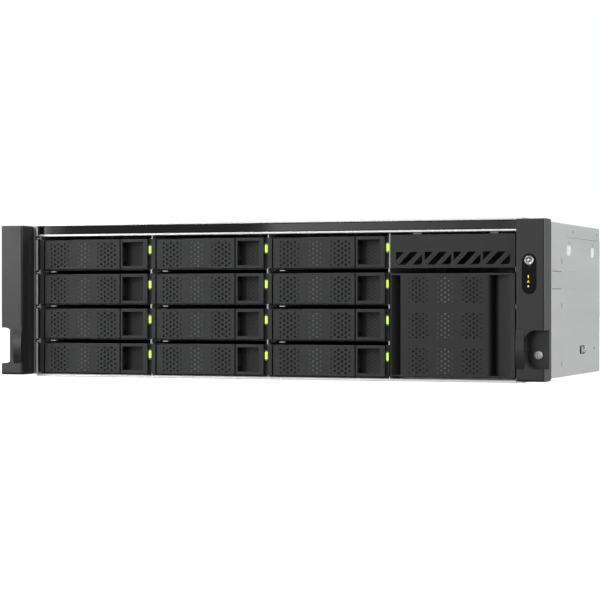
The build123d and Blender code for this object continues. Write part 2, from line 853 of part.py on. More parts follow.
def fan_rotor(x):
    """Cupped hub with its shaft and slanting blades."""
    end = panel_inside - 3.5 - 1
    start = panel_inside - fan_depth + 1.5
    z = fan_middle_height
    hub = rod_y(x, z, start, end, fan_hub)
    hub -= rod_y(x, z, start + 2, end + 1, fan_hub - 2)
    hub += rod_y(x, z, start + 1, end + 2, fan_shaft)
    length = fan_bore - fan_hub - 1.2
    depth = at((start + end) / 2)
    for number in range(fan_blades):
        turn = 360 / fan_blades * number
        blade = Pos(fan_hub - 0.6 + length / 2, 0, 0) * Rot(38, 0, 0) * Box(length, 16, 1.5)
        hub += Pos(x, depth, z) * Rot(0, turn, 0) * blade
    return hub


def fan_guard(x):
    """Flat guard of rings and two crossed wires outside the rear panel."""
    z = fan_middle_height
    start = panel_outside
    end = start + guard_wire
    guard = None
    for radius in (10.0, 18.0, 26.0, 34.0, fan_bore + 1.6):
        ring = rod_y(x, z, start, end, radius) - rod_y(x, z, start - 1, end + 1, radius - guard_wire)
        guard = ring if guard is None else guard + ring
    reach = fan_screw_spacing * hypot(1, 1) / 2 + 4
    for turn in (45, 135):
        guard += Pos(x, at((start + end) / 2), z) * Rot(0, turn, 0) * Box(2 * reach, guard_wire, guard_wire)
    return guard


def motherboard():
    """Main board with memory modules, flash modules, card sockets and a coin cell."""
    top = board_height + board
    pieces = [block(board_left, board_right, board_start, board_end, board_height, top)]
    left = board_left + memory_left
    right = left + memory_length
    for start in memory_starts:
        depth = board_start + start
        middle = depth + memory_socket / 2
        seat = top + memory_seat
        pieces.append(block(left, right, depth, depth + memory_socket, top, seat))
        half = memory_sheet / 2
        pieces.append(block(left + 2, right - 2, middle - half, middle + half, seat, seat + memory_height))
    for x in slot_places:
        half = card_socket_width / 2
        end = board_end - card_socket_gap
        pieces.append(block(x - half, x + half, end - card_socket_length, end, top, top + card_socket_height))
    for start in flash_starts:
        depth = board_start + start
        low = top + flash_lift
        pieces.append(block(flash_left, flash_left + flash_length, depth, depth + flash_width, low, low + board))
        pieces.append(block(flash_left - 4, flash_left, depth, depth + flash_width, top, low + board))
    pieces.append(rod_z(cell_x, board_start + cell_start, top, top + cell_height, cell_radius))
    return pieces


def cpu_heatsink():
    """Finned block over the processor."""
    top = board_height + board
    left = board_left + sink_left
    start = board_start + sink_start
    end = start + sink_size
    fins_low = top + sink_base
    sink = block(left, left + sink_size, start, end, top, fins_low)
    pitch = (sink_size - fin_thickness) / (sink_fins - 1)
    for fin in range(sink_fins):
        x = left + fin * pitch
        sink += block(x, x + fin_thickness, start, end, fins_low, fins_low + fin_height)
    return sink


# ---------- power supplies ----------

def supply_low(number):
    """Underside of a supply, number 0 being the lower one."""
    return supply_bottom + number * (supply_height + 2 * slide_fit + supply_cage_sheet)


def supply_cage_box():
    """Left, right, bottom and top of the cage's outside."""
    skin = slide_fit + supply_cage_sheet
    left = supply_left - skin
    right = supply_left + supply_width + skin
    return left, right, supply_low(0) - skin, supply_low(1) + supply_height + skin


def supply_cage():
    """Two-storey sheet cage open at the rear."""
    left, right, low, high = supply_cage_box()
    cage = block(left, right, supply_start - 2 - board, panel_outside, low, high)
    for number in range(2):
        z = supply_low(number)
        cage -= block(
            supply_left - slide_fit,
            supply_left + supply_width + slide_fit,
            supply_start - 2,
            panel_outside + 1,
            z - slide_fit,
            z + supply_height + slide_fit,
        )
    return cage


def supply_module(number):
    """One supply: its case with the mains inlet, and the two lugs that hold the handle."""
    z = supply_low(number)
    face = panel_outside + supply_proud
    right = supply_left + supply_width
    case = block(supply_left, right, supply_start, face, z, z + supply_height)
    inlet_left = supply_left + inlet_edge
    low = z + (supply_height - inlet_height) / 2
    case -= block(inlet_left, inlet_left + inlet_width, face - inlet_depth, face, low, low + inlet_height)
    hinge_x, depth, height = bail_axis(number)
    for side in (-1, 1):
        x = hinge_x + side * bail_width / 2
        inner = x - side * 2.4
        outer = x + side * (bail_rod + 2.2)
        lug = block(min(inner, outer), max(inner, outer), face, depth + 4, height - 3.6, height + 3.2)
        keep = block(x - bail_rod - 0.6, x + bail_rod + 0.6, face, depth + 5, height - 8, height + 8)
        case += lug - keep
        pin_end = x + side * (bail_rod + 0.6)
        pin_far = x + side * (bail_rod + 2.2)
        hole_start = min(pin_end, pin_far)
        hole_end = max(pin_end, pin_far)
        case -= rod_x(hole_start - 0.1, hole_end + 0.1, depth, height, 1.2 + bail_pin_fit)
    return case


def bail_axis(number):
    """X of the handle's middle, and the depth and height of its hinge line."""
    face = panel_outside + supply_proud
    depth = face + bail_rod + 1.0
    return supply_left + supply_width - bail_side, depth, supply_low(number) + supply_height - 6


def supply_handle(number):
    """Folding handle: two arms, a cross bar that stands off the face, and its pins."""
    middle, depth, height = bail_axis(number)
    reach = body_depth + handle_reach
    grip_depth = reach - 3
    handle = None
    for side in (-1, 1):
        x = middle + side * bail_width / 2
        arm = block(x - bail_rod, x + bail_rod, depth - bail_rod, depth + bail_rod, height - bail_drop, height)
        arm += rod_x(x - bail_rod, x + bail_rod, depth, height, bail_rod)
        foot = height - bail_drop
        arm += block(x - bail_rod, x + bail_rod, depth - bail_rod, grip_depth, foot, foot + bail_bar)
        arm += rod_x(min(x, x + side * 4), max(x, x + side * 4), depth, height, 1.2)
        handle = arm if handle is None else handle + arm
    low = height - bail_drop
    left = middle - bail_width / 2 - bail_rod
    right = middle + bail_width / 2 + bail_rod
    return handle + block(left, right, grip_depth - 1, reach, low, low + bail_bar)


os.makedirs("parts", exist_ok=True)
save("chassis_base", chassis_base())
save("front_top_cover", front_top_cover())
save("rear_lid", rear_lid())
save("left_lid_thumbscrew", thumbscrew(-thumb_x))
save("right_lid_thumbscrew", thumbscrew(thumb_x))
save("rear_panel", *rear_panel())
save("side_screws", *side_screws())
save("ear_brackets", ear_bracket(-1), ear_bracket(1))
save("left_ear_cover", left_ear_cover())
save("right_ear_cover", right_ear_cover())
save("left_rack_screw", rack_screw(-1))
save("right_rack_screw", rack_screw(1))
save("status_window", status_window())
save("power_button", power_button())
save("front_panel_board", *front_panel_board())
save("front_header", front_header())
save("top_trim_strip", top_trim_strip())
save("drive_cage", *drive_cage())
save("drive_backplane", *drive_backplane())
for column in range(columns):
    for row in range(rows):
        place = f"c{column + 1}_r{row + 1}"
        save(f"drive_tray_{place}", *tray(column, row))
        save(f"tray_lever_{place}", tray_lever(column, row))
save("vent_bezel", vent_bezel())
save("bay_cover", bay_cover())
save("small_drive_cage", *small_cage())
save("small_drive_trays", *small_trays())
save("fan_frames", *[fan_frame(x) for x in fan_places])
save("fan_guards", *[fan_guard(x) for x in fan_places])
for number, x in enumerate(fan_places):
    save(f"fan_rotor_{number + 1}", fan_rotor(x))
save("motherboard", *motherboard())
save("cpu_heatsink", cpu_heatsink())
save("io_connectors", *io_connectors())
save("supply_cage", supply_cage())
for number in range(2):
    save(f"power_supply_{number + 1}", supply_module(number))
    save(f"supply_handle_{number + 1}", supply_handle(number))
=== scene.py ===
"""A 19-inch storage server, three rack units high, with finished surfaces and soft studio light."""

import json
from math import cos, pi, radians, sin
from types import SimpleNamespace

import bmesh
import bpy
import numpy as np
from bpy.props import FloatProperty, FloatVectorProperty, IntProperty, PointerProperty
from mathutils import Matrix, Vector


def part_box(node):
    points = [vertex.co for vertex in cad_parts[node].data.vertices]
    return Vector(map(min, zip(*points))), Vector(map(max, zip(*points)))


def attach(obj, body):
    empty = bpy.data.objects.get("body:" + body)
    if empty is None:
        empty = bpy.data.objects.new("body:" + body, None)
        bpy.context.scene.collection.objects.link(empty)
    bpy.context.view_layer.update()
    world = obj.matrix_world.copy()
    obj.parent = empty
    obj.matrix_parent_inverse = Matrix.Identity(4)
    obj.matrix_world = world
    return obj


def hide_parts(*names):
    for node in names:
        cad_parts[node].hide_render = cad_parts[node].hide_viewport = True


bl_info = {
    "name": "Rack Storage Server",
    "version": (1, 0, 0),
    "blender": (4, 5, 0),
    "location": "View3D > Sidebar > Server",
    "description": "Dresses the packed server with levers, trays, covers, screws and studio light",
    "category": "Add Mesh",
}

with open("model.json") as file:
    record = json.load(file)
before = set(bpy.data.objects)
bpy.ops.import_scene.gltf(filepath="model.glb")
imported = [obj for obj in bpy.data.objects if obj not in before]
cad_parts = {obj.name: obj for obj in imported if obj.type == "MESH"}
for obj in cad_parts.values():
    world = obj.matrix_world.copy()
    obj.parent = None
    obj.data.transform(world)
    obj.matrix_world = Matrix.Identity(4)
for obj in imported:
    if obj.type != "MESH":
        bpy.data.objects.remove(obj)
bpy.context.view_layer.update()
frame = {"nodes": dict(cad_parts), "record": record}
MM = 0.001
COLUMNS, ROWS = 3, 4
BAYS = [(c, r) for c in range(1, COLUMNS + 1) for r in range(1, ROWS + 1)]


def corners(node):
    """Lowest and highest corner of a node at rest, in millimetres."""
    low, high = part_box(node)
    return np.array(low) / MM, np.array(high) / MM


def centre(node):
    """Middle of a node's box at rest, in millimetres."""
    return sum(corners(node)) / 2


def disc(radius, size):
    """Profile of a short closed cylinder."""
    return [(0, 0), (radius, 0), (radius, size), (0, size)]


def linear(code):
    """sRGB hex to linear light: c / 12.92 up to 0.04045, and ((c + 0.055) / 1.055) ** 2.4 above it."""
    part = np.array([int(code[i : i + 2], 16) / 255 for i in (1, 3, 5)])
    return tuple(np.where(part <= 0.04045, part / 12.92, ((part + 0.055) / 1.055) ** 2.4).tolist())


def tint(label, code, text):
    """A colour property whose default comes from a hex code."""
    return FloatVectorProperty(
        name=label, description=text, default=linear(code), subtype="COLOR", size=3, min=0, max=1
    )


def length(label, value, text):
    """A length property, given in millimetres and held in metres as Blender shows it."""
    size = value * MM
    return FloatProperty(name=label, description=text, default=size, min=1e-5, precision=5, subtype="DISTANCE")


class ServerSizes(bpy.types.PropertyGroup):
    edge: length("Edge radius", 0.5, "Rounding of moulded edges")
    hole_pitch: length("Lever hole pitch", 3.2, "Spacing of the hole columns across a lever")
    hole_rise: length("Lever hole rise", 3.86, "Spacing of the holes up a column of a lever")
    hole_start: length("Lever hole start", 6.8, "First hole column from the lever's left end")
    hole_drop: length("Lever hole drop", 0.6, "Middle of the hole field below the lever's middle")
    cover_pitch: length("Cover hole pitch", 3.02, "Spacing of the hole columns across the bay cover")
    cover_rise: length("Cover hole rise", 3.83, "Spacing of the holes up a column of the cover")
    hole_depth: length("Hole depth", 0.8, "Depth of a blind vent hole")
    lamp_low: length("Lit part", 13.5, "Lower end of a bay lamp's lit part above the tray's edge")
    lamp_high: length("Lit part end", 19.7, "Upper end of a bay lamp's lit part above the tray's edge")
    knurls: IntProperty(name="Knurls", description="Ridges round a thumbscrew head", default=36, min=6, max=90)


class ServerColours(bpy.types.PropertyGroup):
    tray: tint("Tray plastic", "#2f3031", "Levers and tray fronts")
    cover: tint("Cover plastic", "#2c2b2d", "Bay cover and vent bezel")
    ear: tint("Ear plastic", "#2a2a2a", "Rack ear mouldings")
    steel: tint("Zinc-plated steel", "#d3d5d4", "Body, lid and dividers")
    gloss: tint("Gloss black", "#050505", "Trim strip and status window")
    lamp: tint("Bay lamp", "#b9e23a", "Lit part of the bay lamps")
    board: tint("Solder mask", "#0d3b22", "Circuit boards")
    metal: tint("Nickel plate", "#b8b8b8", "Screws, button and sockets")


# ---------- surfaces ----------


def grid_faces(rows, columns):
    """Quads of a rows x columns grid of points, each from its point to the next along and the next down."""
    index = np.arange(rows * columns).reshape(rows, columns)
    return np.stack([index[:-1, :-1], index[:-1, 1:], index[1:, 1:], index[1:, :-1]], -1).reshape(-1, 4)


def volume_sign(points, faces):
    """Sign of the summed tetrahedra from the points' mean to each face's fan, positive when faces point out."""
    p = points - points.mean(0)
    fan = range(1, faces.shape[1] - 1)
    return sum(np.sum(p[faces[:, 0]] * np.cross(p[faces[:, k]], p[faces[:, k + 1]])) for k in fan)


class Surface:
    """Patches of points and faces in millimetres, each face with the number of its material."""

    def __init__(self):
        self.points, self.faces, self.starts, self.count = [], [], [], 0

    def add(self, points, faces, paint=0):
        points = np.asarray(points, float).reshape(-1, 3)
        faces = np.atleast_2d(faces)
        self.points.append(points)
        self.starts.append(self.count)
        self.faces.append((faces + self.count, np.broadcast_to(paint, len(faces))))
        self.count += len(points)

    def shell(self, points, faces, paint=0):
        """A closed patch, turned over if its faces point inwards."""
        points = np.asarray(points, float).reshape(-1, 3)
        self.add(points, faces if volume_sign(points, faces) > 0 else faces[:, ::-1], paint)

    def tube(self, rings, paint=0):
        """Closed rings along a path, shut at each end by a fan to the ring's middle."""
        ends = [np.broadcast_to(ring[:-1].mean(0), ring.shape)[None] for ring in (rings[0], rings[-1])]
        p = np.concatenate([ends[0], rings, ends[1]])
        self.shell(p, grid_faces(*p.shape[:2]), paint)

    def polygon(self, points, paint=0):
        """One flat face through points given anticlockwise as seen from outside."""
        self.add(points, np.arange(len(points))[None], paint)

    def join(self, other, offset=(0, 0, 0)):
        """Another surface's patches, moved by an offset."""
        for points, (faces, paint), start in zip(other.points, other.faces, other.starts):
            self.add(points + np.array(offset, float), faces - start, paint)

    def piece(self, name, body, slot, finishes, replaced=(), angle=38):
        """The welded mesh as an object at the origin that rides on a body, with its finishes in paint order."""
        points = np.concatenate(self.points) * MM
        faces = [row for block, _ in self.faces for row in block.tolist()]
        mesh = bpy.data.meshes.new(name)
        mesh.from_pydata(points.tolist(), [], faces)
        mesh.polygons.foreach_set("material_index", np.concatenate([p for _, p in self.faces]).astype(np.int32))
        work = bmesh.new()
        work.from_mesh(mesh)
        bmesh.ops.remove_doubles(work, verts=work.verts, dist=2e-6)
        work.to_mesh(mesh)
        work.free()
        for key in finishes.split():
            mesh.materials.append(finish(key))
        mesh.shade_smooth()
        mesh.set_sharp_from_angle(angle=radians(angle))
        obj = bpy.data.objects.new(name, mesh)
        bpy.context.scene.collection.objects.link(obj)
        even = obj.modifiers.new("Even normals", "WEIGHTED_NORMAL")
        even.keep_sharp = True
        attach(obj, body)
        if replaced:
            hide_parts(*replaced)
        return obj

    def box(self, low, high, radius, paint=0, open_front=False, steps=2):
        """A box: each point goes to one radius from the nearest point of the box shrunk by that radius."""
        low, high = np.array(low, float), np.array(high, float)
        radius = min(radius, (high - low).min() * 0.49)
        bend = radius * (1 - np.tan(np.linspace(pi / 4, 0, steps + 1)))
        ticks = [np.concatenate([low[a] + bend, high[a] - bend[::-1]]) for a in range(3)]
        size = len(ticks[0])
        for axis in range(3):
            u, v = (axis + 1) % 3, (axis + 2) % 3
            for side in (0, 1):
                p = np.empty((size, size, 3))
                p[..., u] = ticks[u][:, None]
                p[..., v] = ticks[v][None, :]
                p[..., axis] = high[axis] if side else low[axis]
                core = np.clip(p, low + radius, high - radius)
                away = p - core
                p = core + radius * away / np.linalg.norm(away, axis=-1, keepdims=True)
                faces = grid_faces(size, size)
                if open_front and axis == 1 and not side:
                    faces = np.delete(faces, steps * (size - 1) + steps, axis=0)
                self.add(p, faces[:, ::-1] if side else faces, paint)

    def turned(self, profile, middle, paint=0, steps=48, ripple=None, axis=1):
        """A profile of (radius, depth) turned about an axis: x = r cos t, z = r sin t, y = depth."""
        profile = np.array(profile, float)
        profile[profile[:, 0] < 0.05, 0] = 0
        turn = np.linspace(0, 2 * pi, steps + 1)
        radius = profile[:, 0][:, None] * np.ones_like(turn)[None]
        if ripple is not None:
            radius = radius * ripple(turn[None], profile[:, 1][:, None])
        p = np.empty(radius.shape + (3,))
        a, b = [k for k in range(3) if k != axis]
        p[..., a] = radius * np.cos(turn) + middle[a]
        p[..., b] = radius * np.sin(turn) + middle[b]
        p[..., axis] = profile[:, 1][:, None] + middle[axis]
        self.shell(p, grid_faces(len(profile), steps + 1), paint)

    def perforate(self, area, y, start, step, cells, holes, depth, paint=0):
        """A flat face with blind holes: each is an eight-sided ring in a lattice cell two steps high."""
        x0, x1, z0, z1 = area
        across = start[0] + step[0] * np.arange(cells[0] + 1)
        up = start[1] + step[1] * np.arange(cells[1] + 1)
        half = step[0] / 2
        column, cell, radius, floor = np.array(holes, float).T
        middle = np.stack([across[column.astype(int)] + half, up[cell.astype(int) + 1]], -1)
        outer = np.array([(-1, -1), (0, -1), (1, -1), (1, 0), (1, 1), (0, 1), (-1, 1), (-1, 0)], float)
        inner = outer / np.linalg.norm(outer, axis=1, keepdims=True)
        p = np.empty((len(holes), 3, 8, 3))
        deep = np.where(floor == 2, 0.25, 1) * depth
        p[..., 1] = y + (np.array([0, 0, 1])[None] * deep[:, None])[:, :, None]
        rim = middle[:, None] + inner[None] * radius[:, None, None]
        p[:, 0, :, ::2] = middle[:, None] + outer[None] * (half, step[1])
        p[:, 1, :, ::2] = rim
        p[:, 2, :, ::2] = rim
        k, after = np.arange(8), (np.arange(8) + 1) % 8
        sides = np.concatenate([np.stack([b + k, b + after, b + 8 + after, b + 8 + k], -1) for b in (0, 8)])
        jump = (24 * np.arange(len(holes)))[:, None, None]
        self.add(p, (sides[None] + jump).reshape(-1, 4), paint)
        self.add(p[:, 2], np.arange(8 * len(holes)).reshape(-1, 8), floor.astype(int))
        covered = np.zeros(cells, bool)
        covered[column.astype(int), cell.astype(int)] = covered[column.astype(int), cell.astype(int) + 1] = True
        c, r = np.nonzero(~covered)
        bare = np.full((len(c), 6, 3), float(y))
        bare[:, :, 0] = across[c][:, None] + half * np.array([0, 1, 2, 2, 1, 0])
        bare[:, :, 2] = up[r][:, None] + step[1] * np.array([0, 0, 0, 1, 1, 1])
        self.add(bare, np.arange(6 * len(c)).reshape(-1, 6), paint)
        along = np.sort(np.concatenate([across, across[:-1] + half]))

        def band(xs, zs):
            self.polygon(np.stack([xs, np.full(len(xs), y), zs], -1), paint)

        flat = np.full
        band(np.r_[x0, x1, along[::-1]], np.r_[z0, z0, flat(len(along), up[0])])
        band(np.r_[along, x1, x0], np.r_[flat(len(along), up[-1]), z1, z1])
        band(np.r_[x0, flat(len(up), across[0]), x0], np.r_[z0, up, z1])
        band(np.r_[x1, x1, flat(len(up), across[-1])], np.r_[z0, z1, up[::-1]])

    def pocket(self, area, mouth, y, bevel, depths, paint=0, floor_paint=0):
        """A flat face with a pocket: rings of four corners from the rim over a bevel to a slanting floor."""
        depths = np.array(depths, float)

        def ring(x0, x1, z0, z1, left, right):
            return [(x0, left, z0), (x1, right, z0), (x1, right, z1), (x0, left, z1)]

        mx0, mx1, mz0, mz1 = mouth
        rings = [ring(*area, y, y), ring(*mouth, y, y)]
        rings.append(ring(mx0 + bevel, mx1 - bevel, mz0 + bevel, mz1 - bevel, y + bevel, y + bevel))
        rings.append(ring(mx0 + bevel, mx1 - bevel, mz0 + bevel, mz1 - bevel, *(y + depths)))
        k, after = np.arange(4), (np.arange(4) + 1) % 4
        faces = np.concatenate([np.stack([b + k, b + after, b + 4 + after, b + 4 + k], -1) for b in (0, 4, 8)])
        self.add(np.array(rings), faces, paint)
        self.polygon(np.array(rings[-1]), floor_paint)


def lattice(fields, lit, blocks=(0,)):
    """Holes in staggered columns of six and five cells, as (column, cell, radius, paint), with paint 2 if lit."""
    holes = []
    for first, row in fields.items():
        for column, radius in enumerate(row, first):
            odd, paint = column % 2, 2 if column in lit else 1
            for block in blocks:
                holes += [(column, block + odd + 2 * k, radius, paint) for k in range(6 - odd)]
    return holes


# ---------- finishes ----------


def add_node(tree, kind, inputs=(), **settings):
    """Adds a node, sets its properties, and sets or links its inputs."""
    node = tree.nodes.new(kind)
    for name, value in settings.items():
        setattr(node, name, value)
    for socket, value in dict(inputs).items():
        if isinstance(value, bpy.types.NodeSocket):
            tree.links.new(value, node.inputs[socket])
        else:
            node.inputs[socket].default_value = value
    return node


def new_finish(name, colour, **sockets):
    """A material with one Principled shader, its constant values set on the shader itself."""
    material = bpy.data.materials.new(name)
    material.use_nodes = True
    tree = material.node_tree
    shader = tree.nodes["Principled BSDF"]
    shader.inputs["Base Color"].default_value = (*colour, 1)
    for socket, value in sockets.items():
        shader.inputs[socket.replace("_", " ")].default_value = value
    return material, tree, shader


def vary(tree, shader, colour, spread, patch_mm, roughness, rough_spread, grain_mm, relief_mm, stretch=(1, 1, 1)):
    """Slow colour patches, roughness that drifts with them, and a fine grain as relief, each at its size in mm."""
    place = add_node(tree, "ShaderNodeTexCoord").outputs["Object"]
    place = add_node(tree, "ShaderNodeMapping", {"Vector": place, "Scale": stretch}).outputs["Vector"]
    patch = add_node(tree, "ShaderNodeTexNoise", {"Vector": place, "Scale": 1000 / patch_mm, "Detail": 3.0})
    grain = add_node(tree, "ShaderNodeTexNoise", {"Vector": place, "Scale": 1000 / grain_mm, "Detail": 2.0})
    dark = [c * (1 - spread) for c in colour] + [1]
    light = [min(1, c * (1 + spread)) for c in colour] + [1]
    mixed = add_node(tree, "ShaderNodeMix", {"Factor": patch.outputs["Fac"]}, data_type="RGBA")
    mixed.inputs[6].default_value, mixed.inputs[7].default_value = dark, light
    tree.links.new(mixed.outputs[2], shader.inputs["Base Color"])
    both = add_node(tree, "ShaderNodeMath", {0: patch.outputs["Fac"], 1: grain.outputs["Fac"]}, operation="ADD")
    low, high = roughness - rough_spread, roughness + rough_spread
    span = {"Value": both.outputs[0], "From Min": 0.7, "From Max": 1.3, "To Min": low, "To Max": high}
    rough = add_node(tree, "ShaderNodeMapRange", span)
    tree.links.new(rough.outputs["Result"], shader.inputs["Roughness"])
    relief = {"Strength": 0.6, "Distance": relief_mm * MM, "Height": grain.outputs["Fac"]}
    bump = add_node(tree, "ShaderNodeBump", relief)
    tree.links.new(bump.outputs["Normal"], shader.inputs["Normal"])


def coat(name, colour, *wear, **sockets):
    """A finish from a hex code or the name of a colour property, what vary takes, and constant shader values."""
    colour = linear(colour) if colour[0] == "#" else getattr(bpy.context.scene.server_colours, colour)
    material, tree, shader = new_finish(name, colour, **sockets)
    vary(tree, shader, colour, *wear)
    return material


def spun_cap():
    """Spun steel cap: bright, with rings of turning marks about the button's middle that stretch its glints."""
    colour = bpy.context.scene.server_colours.metal
    material, tree, shader = new_finish("Spun button cap", colour, Metallic=1.0)
    middle = centre("power_button") * MM
    place = add_node(tree, "ShaderNodeTexCoord").outputs["Object"]
    place = add_node(tree, "ShaderNodeMapping", {"Vector": place, "Location": tuple(-middle)}).outputs["Vector"]
    settings = {"Vector": place, "Scale": 700.0, "Distortion": 0.4}
    rings = add_node(tree, "ShaderNodeTexWave", settings, wave_type="RINGS", rings_direction="Y")
    span = {"Value": rings.outputs["Fac"], "To Min": 0.14, "To Max": 0.26}
    tree.links.new(add_node(tree, "ShaderNodeMapRange", span).outputs["Result"], shader.inputs["Roughness"])
    bump = add_node(tree, "ShaderNodeBump", {"Strength": 0.3, "Distance": 0.00001, "Height": rings.outputs["Fac"]})
    tree.links.new(bump.outputs["Normal"], shader.inputs["Normal"])
    return material


def nickel(name, roughness):
    """Bright nickel plate with fine turning marks."""
    return coat(name, "metal", 0.05, 6, roughness, 0.06, 0.5, 0.02, Metallic=1.0)


def hole_floor(name, code):
    """Floor of a blind vent hole."""
    return coat(name, code, 0.1, 8, 0.7, 0.05, 0.6, 0.02)


def plain(name, code, roughness, metallic=0.0):
    """Any other moulded or cast surface, with its own grain."""
    return coat(name, code, 0.06, 20, roughness, 0.05, 0.8, 0.03, Metallic=metallic)


def glowing(name, colour, dim, bright, scale, **sockets):
    """A lit plastic whose glow drifts between two colours in patches of 1000 / scale mm."""
    material, tree, shader = new_finish(name, colour, **sockets)
    place = add_node(tree, "ShaderNodeTexCoord").outputs["Object"]
    glow = add_node(tree, "ShaderNodeTexNoise", {"Vector": place, "Scale": scale})
    mixed = add_node(tree, "ShaderNodeMix", {"Factor": glow.outputs["Fac"]}, data_type="RGBA")
    mixed.inputs[6].default_value, mixed.inputs[7].default_value = (*dim, 1), (*bright, 1)
    tree.links.new(mixed.outputs[2], shader.inputs["Emission Color"])
    return material


def lamp_plastic():
    """Lit acrylic light guide: glows yellow-green, brighter in places."""
    colour, ends = bpy.context.scene.server_colours.lamp, (linear("#a3c62a"), linear("#e2fb80"))
    return glowing("Lit acrylic light guide", colour, *ends, 200.0, Roughness=0.25, Emission_Strength=1.0)


def lit(name, code, strength):
    """A small lit legend behind the window."""
    colour = linear(code)
    dim = [c * 0.85 for c in colour]
    return glowing(name, colour, dim, colour, 900.0, Roughness=0.4, Emission_Strength=strength)


FINISHES = {
    # Sheet steel: pale grey, half metal and half zinc bloom, with a faint rolled grain along the sheet.
    "plated_steel": lambda: coat(
        "Electro-galvanised sheet", "steel", 0.035, 24, 0.42, 0.05, 0.8, 0.02, (1, 0.08, 1), Metallic=0.55
    ),
    # Fine moulded texture: satin, so it takes a soft highlight.
    "ear_plastic": lambda: coat("Satin moulded ear PC-ABS", "ear", 0.04, 30, 0.3, 0.03, 0.5, 0.03, IOR=1.55),
    # Spark-eroded mould texture: a matte charcoal with a soft sheen.
    "tray_plastic": lambda: coat("Moulded charcoal PC-ABS", "tray", 0.05, 30, 0.5, 0.05, 0.7, 0.05, IOR=1.55),
    # The same resin in a slightly warmer batch.
    "cover_plastic": lambda: coat("Moulded bezel PC-ABS", "cover", 0.05, 40, 0.5, 0.05, 0.7, 0.05, IOR=1.55),
    # Polished: a mirror-like dark face.
    "gloss_black": lambda: coat(
        "Polished black polycarbonate", "gloss", 0.1, 60, 0.07, 0.015, 12, 0.004, IOR=1.58
    ),
    # Anti-glare face: nearly black, with little mirror.
    "window": lambda: coat(
        "Smoked anti-glare window", "#060606", 0.1, 60, 0.12, 0.02, 12, 0.004, Specular_IOR_Level=0.12
    ),
    # Half mirror and half satin, so the small heads read as pale discs.
    "screw_steel": lambda: coat("Bright zinc screw", "#e4e5e4", 0.05, 4, 0.3, 0.06, 0.7, 0.01, Metallic=0.45),
    # Satin green, mottled by the tracks under it.
    "circuit_board": lambda: coat("Solder mask", "board", 0.25, 3, 0.35, 0.05, 1.2, 0.03, IOR=1.5),
    # Bright metals: ridges and wires catch thin glints.
    "button_metal": spun_cap,
    "knurled_steel": lambda: nickel("Knurled nickel plate", 0.32),
    "socket_metal": lambda: nickel("Tinned socket shell", 0.3),
    "guard_wire": lambda: nickel("Nickel-plated wire", 0.25),
    # Hems and header line: a paler copy of the zinc steel, a painted highlight on top of the real reflection of the
    # cards.
    "pale_edge": lambda: plain("Bright zinc-plated edge", "#f1f2f2", 0.3, 1.0),
    "gold_pin": lambda: plain("Gold-plated pin", "#d2a648", 0.3, 1.0),
    # Duller metals; then the zinc steel made paler as painted light for small edges and plates, and a grey line as
    # painted shade in formed grooves.
    "fin_aluminium": lambda: plain("Extruded aluminium", "#c9cbcc", 0.35, 1.0),
    "supply_case": lambda: plain("Galvanised supply case", "#a9abab", 0.45, 1.0),
    "disk_case": lambda: plain("Cast aluminium disk case", "#8e9194", 0.45, 1.0),
    "latch_plate": lambda: plain("Pale passivated plate", "#f1f2f2", 0.4),
    "seam": lambda: plain("Formed steel seam", "#747675", 0.6, 0.3),
    # Dark moulded parts, matte enough to stay quiet; the recess floor is the tray resin darkened as painted shade,
    # the unlit cavity is a near-black of painted shade, dark hole floors are painted shade and pale ones painted
    # light.
    "fan_plastic": lambda: plain("Glass-filled PBT", "#1c1c1d", 0.55),
    "handle_black": lambda: plain("Moulded nylon", "#1b1b1c", 0.5),
    "recess_plastic": lambda: plain("Moulded recess floor", "#262727", 0.55),
    "shade": lambda: plain("Unlit cavity", "#070707", 0.8),
    "dark_hole": lambda: hole_floor("Vent hole in shade", "#0c0c0c"),
    "light_hole": lambda: hole_floor("Vent hole with light behind", "#8a8a8a"),
    # Pale and coloured mouldings.
    "snap_tab": lambda: plain("Natural nylon", "#8f8f8d", 0.45),
    "lamp_tip": lambda: plain("Frosted acrylic", "#8b8d86", 0.4),
    "socket_tongue": lambda: plain("Socket tongue", "#2a4a7a", 0.4),
    # Lit parts.
    "lamp": lamp_plastic,
    "icon_green": lambda: lit("Lit legend green", "#c8e02c", 1.2),
    "icon_orange": lambda: lit("Lit legend orange", "#ff9a1e", 1.3),
    "icon_blue": lambda: lit("Lit legend blue", "#a9dcf5", 1.2),
}
made = {}


def finish(key):
    """The material for a finish, made once."""
    if key not in made:
        made[key] = FINISHES[key]()
    return made[key]


class ServerOperator:
    """What every step shares"""

    bl_options = {"REGISTER", "UNDO"}

    @property
    def sizes(self):
        """The size properties as plain millimetres, and the counts as they are."""
        group = bpy.context.scene.server_sizes
        values = {name: getattr(group, name) for name in group.__annotations__}
        return SimpleNamespace(**{k: v if isinstance(v, int) else round(v / MM, 4) for k, v in values.items()})


